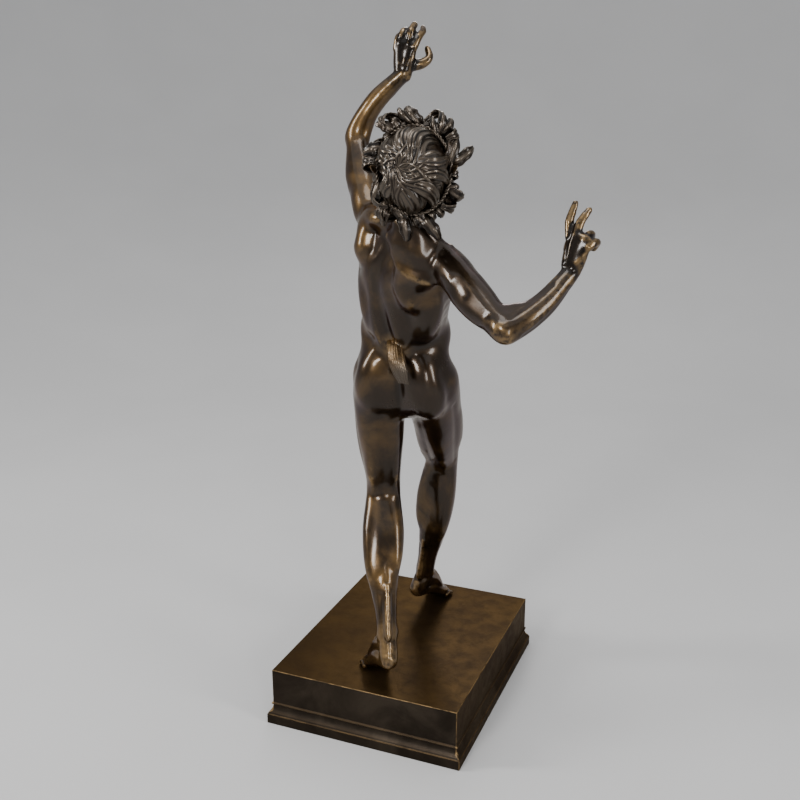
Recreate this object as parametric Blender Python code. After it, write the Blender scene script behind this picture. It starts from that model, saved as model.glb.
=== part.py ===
"""A cast faun that dances on a moulded plinth. Metres, +Z up, origin under the plinth's centre.

The figure faces -Y, so its left is +X. Its pose and carving are written in shares of its height,
as millimetres of a figure 710 mm tall, measured from the middle of the plinth's top.
"""
import math

import bmesh
import bpy
from mathutils import Matrix, Vector

# Plinth
BLOCK_WIDTH = 0.226
BLOCK_DEPTH = 0.279
BLOCK_HEIGHT = 0.0416
BEAD_HEIGHT = 0.0035
BEAD_PROJECTION = 0.0015
COVE_HEIGHT = 0.0095
COVE_PROJECTION = 0.0046
STEP_HEIGHT = 0.0014
FASCIA_HEIGHT = 0.0118
FASCIA_PROJECTION = 0.00565
CURVE_STEPS = 6

# Figure
FIGURE_HEIGHT = 0.710
MODEL_HEIGHT = 710.0
SOLE_CLEARANCE = 0.0003
BODY_CELL = 2.8
FINE_CELL = 2.1
BODY_PASSES = 7
FINE_PASSES = 2
TRUNK_PASSES = 12
TRUNK_REACH = 62.0
KEEP_SHARE = 0.058
RING_SIDES = 20
SPAN_STEPS = 4
BALL_DETAIL = 3

PLINTH_HEIGHT = BLOCK_HEIGHT + BEAD_HEIGHT + COVE_HEIGHT + STEP_HEIGHT + FASCIA_HEIGHT

# Joints of the pose, in the figure's millimetres
LEFT_HIP = Vector((8, 68, 347))
LEFT_KNEE = Vector((18, 30, 198))
LEFT_ANKLE = Vector((-22, 115, 56))
LEFT_HEEL = Vector((-29, 128, 36))
LEFT_BALL = Vector((0, 94, 12))
RIGHT_HIP = Vector((-50, 58, 343))
RIGHT_KNEE = Vector((-28, -45, 218))
RIGHT_ANKLE = Vector((-1, -56, 55))
RIGHT_HEEL = Vector((6, -50, 32))
RIGHT_BALL = Vector((-1, -97, 11))
LEFT_SHOULDER = Vector((13, 72, 519))
LEFT_ELBOW = Vector((56, 12, 593))
LEFT_WRIST = Vector((5, 4, 656))
RIGHT_SHOULDER = Vector((-92, 134, 483))
RIGHT_ELBOW = Vector((-173, 211, 441))
RIGHT_WRIST = Vector((-216, 155, 486))
HEAD_CENTRE = Vector((-62, 143, 569))

X = Vector((1, 0, 0))
Z = Vector((0, 0, 1))


def clear_scene():
    for item in list(bpy.data.objects):
        bpy.data.objects.remove(item, do_unlink=True)


def metal(name, colour, roughness):
    material = bpy.data.materials.new(name)
    material.use_nodes = True
    shader = material.node_tree.nodes["Principled BSDF"]
    shader.inputs["Base Color"].default_value = colour
    shader.inputs["Metallic"].default_value = 1.0
    shader.inputs["Roughness"].default_value = roughness
    material.diffuse_color = colour
    return material


def add_object(name, mesh, material):
    mesh.materials.clear()
    mesh.materials.append(material)
    item = bpy.data.objects.new(name, mesh)
    bpy.context.scene.collection.objects.link(item)
    return item


# Places on the body


class Bone:
    """A straight axis from one joint to the next, with a front and an outer side."""

    def __init__(self, start, end, front, outward):
        self.start = start
        self.length = (end - start).length
        self.along = (end - start).normalized()
        self.front = (front - self.along * front.dot(self.along)).normalized()
        side = self.along.cross(self.front)
        self.outward = side if side.dot(outward) > 0 else -side

    def at(self, share, outward=0.0, front=0.0):
        return self.start + self.along * self.length * share + self.outward * outward + self.front * front

    def station(self, share, width, depth, outward=0.0, front=0.0):
        return (*self.at(share, outward, front), width, depth)


class Block:
    """A solid part of the body, such as the chest, with its own left, back and up."""

    def __init__(self, origin, left, up):
        self.origin = origin
        self.up = up.normalized()
        self.left = (left - self.up * left.dot(self.up)).normalized()
        self.back = self.up.cross(self.left)

    def at(self, left, back, up):
        return self.origin + self.left * left + self.back * back + self.up * up

    def towards(self, left, back, up):
        return (self.left * left + self.back * back + self.up * up).normalized()


PELVIS = Block(Vector((-20, 61, 352)), Vector((1, 0.06, 0)), Vector((-0.02, 0.06, 1)))
CHEST = Block(Vector((-35, 92, 466)), Vector((0.84, -0.50, 0.22)), Vector((-0.15, 0.42, 0.90)))
HEAD = Block(HEAD_CENTRE, Vector((0.928, 0.367, 0)), Vector((-0.266, 0.673, 0.689)))


# Modelling tools


def smooth_stations(stations):
    """Catmull-Rom curve through stations of x, y, z, half width and half depth."""
    points = [Vector(station) for station in stations]
    points = [points[0] * 2 - points[1]] + points + [points[-1] * 2 - points[-2]]
    result = []
    for index in range(1, len(points) - 2):
        before, start, end, after = points[index - 1:index + 3]
        for step in range(SPAN_STEPS):
            t = step / SPAN_STEPS
            result.append(0.5 * (2 * start + (end - before) * t
                                 + (2 * before - 5 * start + 4 * end - after) * t ** 2
                                 + (3 * start - before - 3 * end + after) * t ** 3))
    result.append(points[-2])
    return result


def add_limb(shape, stations, side, end_side=None):
    """Loft oval rings along a curve and round both ends. The half widths lie along side."""
    curve = smooth_stations(stations)
    centres = [Vector(point[:3]) for point in curve]
    last = len(centres) - 1
    rings = []
    for index, centre in enumerate(centres):
        tangent = (centres[min(index + 1, last)] - centres[max(index - 1, 0)]).normalized()
        axis = side.lerp(end_side, index / last) if end_side else side
        across = (axis - tangent * axis.dot(tangent)).normalized()
        rings.append((centre, across, tangent, curve[index][3], curve[index][4]))
    domes = []
    for ring, sign in ((rings[0], -1), (rings[-1], 1)):
        centre, across, tangent, width, depth = ring
        caps = []
        for angle in (math.radians(30), math.radians(58), math.radians(80)):
            shift = tangent * sign * math.sin(angle) * min(width, depth)
            shrink = math.cos(angle)
            caps.append((centre + shift, across, tangent, width * shrink, depth * shrink))
        domes.append(caps)
    loops = []
    for centre, across, tangent, width, depth in domes[0][::-1] + rings + domes[1]:
        deep = tangent.cross(across)
        loop = []
        for number in range(RING_SIDES):
            turn = 2 * math.pi * number / RING_SIDES
            place = centre + across * width * math.cos(turn) + deep * depth * math.sin(turn)
            loop.append(shape.verts.new(place))
        loops.append(loop)
    for lower, upper in zip(loops, loops[1:]):
        for number in range(RING_SIDES):
            following = (number + 1) % RING_SIDES
            shape.faces.new((lower[number], lower[following], upper[following], upper[number]))
    shape.faces.new(loops[0][::-1])
    shape.faces.new(loops[-1])


def add_muscle(shape, start, end, outward, width, depth):
    """Ellipsoid from one end of a muscle to the other; depth is its half thickness along outward."""
    along = (end - start) / 2
    direction = along.normalized()
    deep = (outward - direction * outward.dot(direction)).normalized()
    across = deep.cross(direction)
    placed = Matrix((across * width, deep * depth, along)).transposed().to_4x4()
    placed.translation = (start + end) / 2
    bmesh.ops.create_icosphere(shape, subdivisions=BALL_DETAIL, radius=1.0, matrix=placed)


def add_ball(shape, centre, radius):
    placed = Matrix.Translation(centre) @ Matrix.Diagonal((radius, radius, radius, 1))
    bmesh.ops.create_icosphere(shape, subdivisions=BALL_DETAIL, radius=1.0, matrix=placed)


def fused_mesh(shape, name, cell, passes, keep):
    """Fuse the overlapping forms of a shape into one skin, smooth it and thin out its faces."""
    unit = FIGURE_HEIGHT / MODEL_HEIGHT
    bmesh.ops.scale(shape, vec=(unit, unit, unit), verts=shape.verts)
    bmesh.ops.recalc_face_normals(shape, faces=shape.faces)
    mesh = bpy.data.meshes.new(name)
    shape.to_mesh(mesh)
    shape.free()
    item = bpy.data.objects.new(name, mesh)
    bpy.context.scene.collection.objects.link(item)
    fuse = item.modifiers.new("Fuse", "REMESH")
    fuse.mode = "VOXEL"
    fuse.voxel_size = cell * unit
    soften = item.modifiers.new("Soften", "SMOOTH")
    soften.factor = 0.5
    soften.iterations = passes
    if keep < 1.0:
        thin = item.modifiers.new("Thin", "DECIMATE")
        thin.ratio = keep
    graph = bpy.context.evaluated_depsgraph_get()
    result = bpy.data.meshes.new_from_object(item.evaluated_get(graph))
    bpy.data.objects.remove(item, do_unlink=True)
    return result


def calm_trunk(shape):
    """Soften the broad planes of the trunk more than the limbs."""
    foot = PELVIS.at(0, 0, -10)
    axis = CHEST.at(0, 0, 30) - foot
    within = []
    for point in shape.verts:
        share = min(max((point.co - foot).dot(axis) / axis.length_squared, 0.0), 1.0)
        if (point.co - foot - axis * share).length < TRUNK_REACH:
            within.append(point)
    for _ in range(TRUNK_PASSES):
        bmesh.ops.smooth_vert(shape, verts=within, factor=0.5,
                              use_axis_x=True, use_axis_y=True, use_axis_z=True)


# The figure's body


def add_leg(shape, hip, knee, ankle, front, outward):
    thigh = Bone(hip, knee, front, outward)
    shank = Bone(knee, ankle, front, outward)
    back = -thigh.front
    calf_back = -shank.front
    add_limb(shape, [
        thigh.station(0.0, 29, 33),
        thigh.station(0.2, 29, 32),
        thigh.station(0.45, 27, 29),
        thigh.station(0.7, 23, 25),
        thigh.station(0.92, 20.5, 21),
        shank.station(0.06, 20, 20, 0, -1),
        shank.station(0.2, 22, 20, 2, -3),
        shank.station(0.4, 22, 19, 3, -4),
        shank.station(0.62, 17, 16, 3, -3),
        shank.station(0.82, 12.5, 13, 1, -1),
        shank.station(1.0, 11.5, 12.5),
    ], thigh.outward, shank.outward)
    add_muscle(shape, thigh.at(0.04, 18, 5), thigh.at(0.95, 11, 8), thigh.outward, 16, 13)
    add_muscle(shape, thigh.at(0.55, -10, 8), thigh.at(1.03, -9, 9), -thigh.outward, 12, 11)
    add_muscle(shape, thigh.at(0.0, 3, 17), thigh.at(0.94, 1, 13), thigh.front, 14, 15)
    add_muscle(shape, thigh.at(0.05, 8, -13), thigh.at(1.0, 12, -10), back, 11, 15)
    add_muscle(shape, thigh.at(0.05, -8, -13), thigh.at(1.02, -11, -10), back, 11, 15)
    add_muscle(shape, thigh.at(-0.02, -12, 2), thigh.at(0.5, -8, 0), -thigh.outward, 16, 12)
    add_ball(shape, thigh.at(1.0, 0, 13), 10)
    add_muscle(shape, shank.at(-0.1, -8, -6), shank.at(0.6, -9, -11), calf_back, 13.5, 14)
    add_muscle(shape, shank.at(-0.1, 10, -6), shank.at(0.68, 15, -9), calf_back, 14, 13)
    add_muscle(shape, shank.at(0.06, 8, 9), shank.at(0.7, 5, 6), shank.front, 8, 7)
    add_limb(shape, [
        shank.station(0.5, 9, 4, 0, -16),
        shank.station(0.75, 4.8, 4, 0, -14),
        shank.station(1.0, 4.8, 4, 0, -15),
    ], shank.outward)
    add_ball(shape, shank.at(0.98, 9.5, 1), 5)
    add_ball(shape, shank.at(0.95, -9.5, 2), 5.5)


def add_foot(shape, ankle, heel, ball, outward):
    """Heel, instep and sole, then five toes side by side with the great toe on the inner side."""
    forward = Vector((ball.x - heel.x, ball.y - heel.y, 0)).normalized()
    side = forward.cross(Z)
    side = side if side.dot(outward) > 0 else -side
    middle = heel.lerp(ball, 0.5)
    add_limb(shape, [
        (*(ankle + Z * 18), 5, 6),
        (*(ankle + Z * 3 - forward * 1), 9, 10.5),
        (*(ankle.lerp(heel, 0.6)), 10.5, 12),
        (*(heel + Z * 3), 10, 10.5),
    ], side)
    add_limb(shape, [
        (*(heel + Z * 2), 9.5, 10),
        (*(middle + Z * 7), 13, 11),
        (*(ball + Z * 3), 15.5, 8.5),
        (*(ball + forward * 9), 14.5, 7),
    ], side)
    add_limb(shape, [
        (*(ankle - Z * 4), 11, 12),
        (*(ankle.lerp(ball, 0.4) + Z * 3 + forward * 3), 12, 11),
        (*(ball + Z * 6), 13, 6),
    ], side)
    for number in range(5):
        reach = 22 - 2.6 * max(number - 1, 0)
        radius = 4.0 - 0.25 * number if number else 5.4
        root = ball + side * (number * 6.4 - 12.5) + forward * 6
        root.z = radius + 2.0
        middle = root + forward * reach * 0.5 + Z * 0.5
        tip = root + forward * reach - Z * 2.2
        add_limb(shape, [
            (*root, radius, radius),
            (*middle, radius * 0.88, radius * 0.9),
            (*tip, radius, radius * 0.8),
        ], side)


def add_trunk(shape):
    """Pelvis to neck as one loft that turns its left side forward on the way up."""
    add_limb(shape, [
        (-20, 62, 332, 42, 33),
        (-18, 60, 352, 50, 40),
        (-18, 60, 378, 47, 36),
        (-23, 65, 406, 46, 33),
        (-29, 77, 434, 49, 36),
        (-34, 90, 464, 55, 40),
        (-39, 101, 488, 50, 35),
        (-41, 109, 507, 30, 24),
    ], PELVIS.left, CHEST.left)
    add_limb(shape, [
        (-43, 108, 500, 28, 25),
        (-49, 119, 524, 24, 23),
        (-58, 135, 552, 24, 25),
    ], CHEST.left, HEAD.left)


def add_back(shape):
    """Columns along the spine, shoulder blades, broad back, loins and seat."""
    back = CHEST.back
    for side in (1, -1):
        add_muscle(shape, PELVIS.at(side * 12, 24, 10), CHEST.at(side * 13, 26, 22), back, 13, 13)
        add_muscle(shape, CHEST.at(side * 50, 6, 22), PELVIS.at(side * 24, 22, 40), back, 20, 17)
        seat_top = PELVIS.at(side * 21 - 2, 24, 34)
        add_muscle(shape, seat_top, PELVIS.at(side * 33 - 3, 14, -48), PELVIS.back, 25, 25)
        hip_top = PELVIS.at(side * 31 - 1, 8, 40)
        add_muscle(shape, hip_top, PELVIS.at(side * 43 - 3, 0, -26), PELVIS.back, 15, 24)
    add_muscle(shape, CHEST.at(-26, 32, 36), CHEST.at(-44, 28, -14), back, 18, 10)
    add_muscle(shape, CHEST.at(-24, 32, 30), CHEST.at(-66, 14, 30), back, 16, 12)
    add_muscle(shape, CHEST.at(-2, 30, 58), CHEST.at(-58, 18, 48), back, 17, 11)
    add_muscle(shape, CHEST.at(-48, 16, 34), PELVIS.at(-40, 8, 58), PELVIS.left, 18, 15)
    add_muscle(shape, CHEST.at(26, 32, 34), CHEST.at(44, 20, 0), back, 16, 12)
    add_muscle(shape, CHEST.at(26, 30, 34), LEFT_SHOULDER, back, 14, 13)
    add_muscle(shape, CHEST.at(-10, 24, 84), RIGHT_SHOULDER + Z * 8, CHEST.up, 16, 14)
    add_muscle(shape, CHEST.at(8, 24, 66), LEFT_SHOULDER + Z * 3, CHEST.up, 14, 12)


def add_front(shape):
    """Chest, belly, flanks and a plain low mound at the fork."""
    front = -CHEST.back
    for side in (1, -1):
        add_muscle(shape, CHEST.at(side * 6, -32, 16), CHEST.at(side * 56, -12, 28), front, 19, 13)
        add_muscle(shape, CHEST.at(side * 11, -32, 0), PELVIS.at(side * 9, -29, -6), front, 12, 11)
        flank_top = PELVIS.at(side * 35, 0, 72)
        add_muscle(shape, flank_top, PELVIS.at(side * 38, -8, 18), PELVIS.left * side, 20, 14)
    add_ball(shape, PELVIS.at(0, -30, -18), 13)


def add_arm(shape, shoulder, elbow, wrist, front, elbow_back):
    """Upper arm and forearm. Front is the side of the biceps."""
    outward = (elbow - shoulder).cross(front).normalized()
    upper = Bone(shoulder, elbow, front, outward)
    lower = Bone(elbow, wrist, front, outward)
    add_limb(shape, [
        upper.station(0.0, 19, 19),
        upper.station(0.25, 17.5, 18),
        upper.station(0.55, 15.5, 17),
        upper.station(0.85, 13.5, 14),
        upper.station(1.0, 13.5, 13),
    ], upper.outward)
    add_limb(shape, [
        lower.station(0.0, 13.5, 12.5, 0, -2),
        lower.station(0.25, 15, 12.5, 0, -5),
        lower.station(0.55, 13, 11.5, 0, -6),
        lower.station(0.85, 10, 9.5, 0, -3),
        lower.station(1.05, 10, 8.5),
    ], lower.outward)
    add_muscle(shape, upper.at(-0.2), upper.at(0.5), upper.outward, 19, 20)
    add_muscle(shape, upper.at(0.2, 0, 6), upper.at(0.95, 0, 4), upper.front, 11, 12)
    add_muscle(shape, upper.at(0.05, 2, -9), upper.at(0.95, 1, -6), -upper.front, 13, 13)
    add_muscle(shape, upper.at(0.80, 6, -3), lower.at(0.5, 5, -6), upper.outward, 8, 8)
    add_ball(shape, elbow + elbow_back.normalized() * 6.5, 9)


def add_hand(shape, wrist, knuckles, fingers, thumb):
    """Palm from the wrist to four knuckles, four fingers and a thumb, each by its joints."""
    across = (knuckles[0] - knuckles[3]).normalized()
    middle = (knuckles[1] + knuckles[2]) / 2
    add_limb(shape, [
        (*wrist, 9.5, 8),
        (*wrist.lerp(middle, 0.35), 11.5, 7.5),
        (*wrist.lerp(middle, 0.75), 12.5, 6.5),
        (*middle, 12.5, 5),
    ], across)
    for joints in fingers:
        stations = [(*point, radius, radius) for point, radius in zip(joints, (4.4, 4.0, 3.6, 3.0))]
        add_limb(shape, stations, across)
    stations = [(*point, radius, radius) for point, radius in zip(thumb, (6.6, 5.4, 4.2, 3.4))]
    add_limb(shape, stations, Z)


def add_hands(shape):
    knuckles = [Vector((-7, 3, 684)), Vector((-1, 3, 687)), Vector((6, 3, 687)), Vector((12, 3, 683))]
    fingers = [
        [knuckles[0], Vector((-10, -3, 694)), Vector((-11, -12, 700)), Vector((-9, -18, 704))],
        [knuckles[1], Vector((-3, 1, 699)), Vector((-3, -8, 706)), Vector((-2, -14, 706.5))],
        [knuckles[2], Vector((6, 0, 699)), Vector((4, -11, 700)), Vector((3, -17, 693))],
        [knuckles[3], Vector((11, 0, 694)), Vector((9, -10, 694)), Vector((8, -14, 687))],
    ]
    thumb = [Vector((-2, -1, 666)), Vector((-13, -6, 668)), Vector((-19, -11, 674)), Vector((-15, -16, 683))]
    add_hand(shape, LEFT_WRIST, knuckles, fingers, thumb)
    knuckles = [Vector((-213, 150, 516)), Vector((-219, 152, 518)),
                Vector((-226, 154, 514)), Vector((-231, 157, 509))]
    fingers = [
        [knuckles[0], Vector((-211, 146, 528)), Vector((-212, 142, 536)), Vector((-214, 139, 544))],
        [knuckles[1], Vector((-221, 148, 528)), Vector((-224, 145, 534)), Vector((-227, 141, 539))],
        [knuckles[2], Vector((-229, 148, 518)), Vector((-230, 139, 517)), Vector((-227, 134, 510))],
        [knuckles[3], Vector((-235, 152, 512)), Vector((-236, 144, 511)), Vector((-232, 138, 505))],
    ]
    thumb = [Vector((-216, 148, 497)), Vector((-210, 138, 503)),
             Vector((-210, 130, 511)), Vector((-214, 125, 517))]
    add_hand(shape, RIGHT_WRIST, knuckles, fingers, thumb)


# Head, hair and tail. In the head's block, back is the nape's side and up the crown


def add_head(shape):
    face = -HEAD.back
    add_muscle(shape, HEAD.at(0, 36, 8), HEAD.at(0, -35, 8), HEAD.up, 31, 35)
    add_muscle(shape, HEAD.at(0, -21, 26), HEAD.at(0, -23, -44), face, 24, 18)
    add_muscle(shape, HEAD.at(0, -8, -14), HEAD.at(0, -29, -44), face, 21, 16)
    add_muscle(shape, HEAD.at(0, -35, 14), HEAD.at(0, -43, -9), face, 5.5, 5)
    add_muscle(shape, HEAD.at(-20, -32, 15), HEAD.at(20, -32, 15), face, 5, 6)
    add_muscle(shape, HEAD.at(-11, -36, -20), HEAD.at(11, -36, -20), face, 4.5, 5)
    add_ball(shape, HEAD.at(0, -33, -36), 9)
    for side in (1, -1):
        add_ball(shape, HEAD.at(side * 16, -26, -3), 9)


def add_lock(shape, points, radius, normal):
    """A lock of hair or a leaf: a flattened loft that tapers to its tip."""
    last = len(points) - 1
    stations = []
    for number, point in enumerate(points):
        width = radius * (1 - 0.6 * (number / last) ** 3)
        stations.append((*point, width, width * 0.6))
    add_limb(shape, stations, (points[-1] - points[0]).cross(normal).normalized())


def add_hair(shape):
    """Cap of hair with swirling locks, the rope of the wreath round it and the leaves outside."""
    pole = HEAD.towards(0, 0.64, 0.77)
    rise = HEAD.towards(0, -0.77, 0.64)
    left = HEAD.left
    centre = HEAD_CENTRE + pole * 4
    wide, high, deep = 32.0, 39.0, 36.0
    add_muscle(shape, centre - pole * deep, centre + pole * deep, rise, wide, high)
    for number in range(16):
        start = 2 * math.pi * number / 16
        points = []
        for tilt in (12, 30, 50, 70):
            polar = math.radians(tilt)
            turn = start + 0.55 * math.sin(2.2 * polar)
            points.append(centre + pole * (deep + 2) * math.cos(polar)
                          + left * wide * math.sin(polar) * math.cos(turn)
                          + rise * high * math.sin(polar) * math.sin(turn))
        stations = [(*point, 2.4 + index * 0.5, 3.4) for index, point in enumerate(points)]
        add_limb(shape, stations, left)
    rope = []
    for number in range(25):
        turn = 2 * math.pi * number / 24
        rope.append(centre + pole * 10 + left * 34.5 * math.cos(turn) + rise * 40 * math.sin(turn))
    for start, end in zip(rope, rope[1:]):
        add_muscle(shape, start * 1.2 - end * 0.2, end * 1.2 - start * 0.2, pole, 4.2, 4.2)
    for number in range(15):
        turn = 2 * math.pi * (number + 0.25) / 15
        radial = (left * 0.85 * math.cos(turn) + rise * math.sin(turn)).normalized()
        around = pole.cross(radial)
        root = centre + left * 31 * math.cos(turn) + rise * 38 * math.sin(turn) + pole * 3
        lean = (0.6, -0.3, 0.9)[number % 3]
        add_lock(shape, [
            root,
            root + radial * 9 + around * 4 * lean + pole * 5,
            root + radial * 17 + around * 9 * lean + pole * 3,
            root + radial * 21 + around * 14 * lean - pole * 6,
        ], 6.5, pole)
    nape = centre - rise * 41 - pole * 2
    add_lock(shape, [nape, nape - rise * 12, nape - rise * 22 + left * 4], 8, pole)
    for side in (1, -1):
        ear = HEAD.at(side * 30, 2, 0)
        middle = ear + HEAD.towards(side, 0.3, 0.5) * 10
        add_lock(shape, [ear, middle, ear + HEAD.towards(side, 0.5, 1.2) * 22], 8, pole)


def add_tail(shape):
    points = [Vector((-22, 86, 392)), Vector((-27, 104, 390)),
              Vector((-33, 114, 377)), Vector((-40, 115, 358))]
    stations = [(*point, radius, radius * 0.85) for point, radius in zip(points, (7, 8, 8.4, 5.5))]
    add_limb(shape, stations, X)


def flat_soled(mesh):
    """Stand the figure on the plinth and cut its soles level, just clear of it."""
    shape = bmesh.new()
    shape.from_mesh(mesh)
    bmesh.ops.translate(shape, vec=Z * PLINTH_HEIGHT, verts=shape.verts)
    everything = shape.verts[:] + shape.edges[:] + shape.faces[:]
    bmesh.ops.bisect_plane(shape, geom=everything, dist=1e-7, plane_co=Z * (PLINTH_HEIGHT + SOLE_CLEARANCE),
                           plane_no=Z, clear_inner=True)
    bmesh.ops.holes_fill(shape, edges=shape.edges, sides=0)
    bmesh.ops.recalc_face_normals(shape, faces=shape.faces)
    result = bpy.data.meshes.new("faun")
    shape.to_mesh(result)
    shape.free()
    result.shade_smooth()
    return result


def make_faun():
    body = bmesh.new()
    add_trunk(body)
    add_back(body)
    add_front(body)
    add_leg(body, LEFT_HIP, LEFT_KNEE, LEFT_ANKLE, Vector((0.45, -0.89, 0)), X)
    add_leg(body, RIGHT_HIP, RIGHT_KNEE, RIGHT_ANKLE, Vector((-0.15, -0.99, 0)), -X)
    add_arm(body, LEFT_SHOULDER, LEFT_ELBOW, LEFT_WRIST, Vector((-0.8, -0.2, 0.3)), Vector((0.9, 0.1, -0.3)))
    add_arm(body, RIGHT_SHOULDER, RIGHT_ELBOW, RIGHT_WRIST, Vector((0, -0.4, 0.9)), Vector((-0.5, 0.6, -0.6)))
    fused = fused_mesh(body, "body", BODY_CELL, BODY_PASSES, 1.0)

    figure = bmesh.new()
    figure.from_mesh(fused)
    unit = MODEL_HEIGHT / FIGURE_HEIGHT
    bmesh.ops.scale(figure, vec=(unit, unit, unit), verts=figure.verts)
    calm_trunk(figure)
    add_foot(figure, LEFT_ANKLE, LEFT_HEEL, LEFT_BALL, X)
    add_foot(figure, RIGHT_ANKLE, RIGHT_HEEL, RIGHT_BALL, -X)
    add_hands(figure)
    add_head(figure)
    add_hair(figure)
    add_tail(figure)
    return flat_soled(fused_mesh(figure, "figure", FINE_CELL, FINE_PASSES, KEEP_SHARE))


# Plinth


def plinth_profile():
    """Height and projection of each level of the plinth, from the underside up."""
    levels = [(0.0, FASCIA_PROJECTION), (FASCIA_HEIGHT, FASCIA_PROJECTION)]
    cove_foot = FASCIA_HEIGHT + STEP_HEIGHT
    for step in range(CURVE_STEPS + 1):
        turn = math.pi / 2 * step / CURVE_STEPS
        levels.append((cove_foot + COVE_HEIGHT * math.sin(turn), COVE_PROJECTION * (1 - math.sin(turn)) ** 2))
    bead_foot = cove_foot + COVE_HEIGHT
    for step in range(1, CURVE_STEPS):
        turn = math.pi * step / CURVE_STEPS
        levels.append((bead_foot + BEAD_HEIGHT * step / CURVE_STEPS, BEAD_PROJECTION * math.sin(turn)))
    levels.append((bead_foot + BEAD_HEIGHT, 0.0))
    levels.append((PLINTH_HEIGHT, 0.0))
    return levels


def make_plinth():
    shape = bmesh.new()
    loops = []
    for height, out in plinth_profile():
        x = BLOCK_WIDTH / 2 + out
        y = BLOCK_DEPTH / 2 + out
        corners = ((-x, -y, height), (x, -y, height), (x, y, height), (-x, y, height))
        loops.append([shape.verts.new(corner) for corner in corners])
    for lower, upper in zip(loops, loops[1:]):
        for number in range(4):
            following = (number + 1) % 4
            shape.faces.new((lower[number], lower[following], upper[following], upper[number]))
    shape.faces.new(loops[0][::-1])
    shape.faces.new(loops[-1])
    mesh = bpy.data.meshes.new("plinth")
    shape.to_mesh(mesh)
    shape.free()
    return mesh


def main():
    clear_scene()
    add_object("faun", make_faun(), metal("dark_bronze", (0.055, 0.032, 0.016, 1.0), 0.32))
    add_object("plinth", make_plinth(), metal("plinth_bronze", (0.060, 0.036, 0.018, 1.0), 0.40))


main()
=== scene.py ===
"""Looks of a cast bronze faun that dances on a moulded plinth, laid out as an add-on. Metres, +Z up.

The figure faces -Y, so its left is +X. Its forms are written in shares of its height, as millimetres
of a figure 710 mm tall, measured from the middle of the plinth's top.
"""

import math

import bmesh
import bpy
import numpy as np
from bpy.props import FloatProperty, FloatVectorProperty, IntProperty, PointerProperty
from mathutils import Matrix, Vector
from mathutils.kdtree import KDTree


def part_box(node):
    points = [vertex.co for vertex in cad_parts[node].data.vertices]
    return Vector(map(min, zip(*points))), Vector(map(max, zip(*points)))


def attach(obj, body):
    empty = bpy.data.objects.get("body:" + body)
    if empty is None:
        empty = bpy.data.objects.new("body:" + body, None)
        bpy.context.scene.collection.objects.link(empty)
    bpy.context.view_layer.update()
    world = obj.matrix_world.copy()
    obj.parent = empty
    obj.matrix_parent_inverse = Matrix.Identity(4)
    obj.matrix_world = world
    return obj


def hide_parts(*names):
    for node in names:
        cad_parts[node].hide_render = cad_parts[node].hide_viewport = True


bl_info = {
    "name": "Bronze faun",
    "version": (1, 0, 0),
    "blender": (4, 5, 0),
    "location": "3D View > Sidebar > Faun",
    "description": "Builds a patinated bronze faun with its plinth, studio and camera",
    "category": "Object",
}

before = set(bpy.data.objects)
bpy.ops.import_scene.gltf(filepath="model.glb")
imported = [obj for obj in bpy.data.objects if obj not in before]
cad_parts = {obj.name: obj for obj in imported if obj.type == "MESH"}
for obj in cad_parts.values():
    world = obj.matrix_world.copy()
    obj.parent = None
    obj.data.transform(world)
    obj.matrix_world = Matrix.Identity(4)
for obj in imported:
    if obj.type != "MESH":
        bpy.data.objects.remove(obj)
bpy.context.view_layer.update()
PLINTH_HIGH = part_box("plinth")[1]
PLINTH_TOP = PLINTH_HIGH.z
MODEL_HEIGHT = 710.0

# The plinth's mouldings, as in the solid
BEAD_HEIGHT = 0.0035
BEAD_PROJECTION = 0.0015
COVE_HEIGHT = 0.0095
COVE_PROJECTION = 0.0046
STEP_HEIGHT = 0.0014
FASCIA_HEIGHT = 0.0118
FASCIA_PROJECTION = 0.00565

# Detail of the modelling
RING_SIDES = 28
SPAN_STEPS = 6
BALL_DETAIL = 4
DOME_ANGLES = (30, 58, 80)
SOLE_CLEARANCE = 0.0003
SEED = 11

# Fusing of the forms: size of the cells in the figure's millimetres, and rounds of smoothing
TRUNK_FUSE = (2.2, 8)
SKULL_FUSE = (1.4, 7)
SKIN_ROUNDS = 3

# Softening that keeps the girth: rounds, and how far every second one swells back
TRUNK_SOFTENING = (60, 0.52)
SKIN_SOFTENING = (8, 0.53)

# Calmer zones round the trunk's axis and the joints: where each ends, and over what width it fades
PLAIN_ROUNDS = 12
CALM_ROUNDS = 30
TRUNK_CALM = (84, 30)
JOINT_CALM = (54, 20)

# Carving: share of each stroke's depth, rounds that even out the directions it presses in, and rounds
# that straighten its path on the skin
CARVING = 0.75
EVEN_ROUNDS = 14
PATH_ROUNDS = 6

# Patina: rounds that find the relief, and the millimetres at which a hollow and a crest are full
RELIEF_ROUNDS = 36
HOLLOW_DEPTH = 0.9
CREST_HEIGHT = 0.95

# Thinning: fine points that each thin point takes its values from, and the softness of their weights
NEIGHBOURS = 6
SOFTNESS = 0.1

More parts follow.
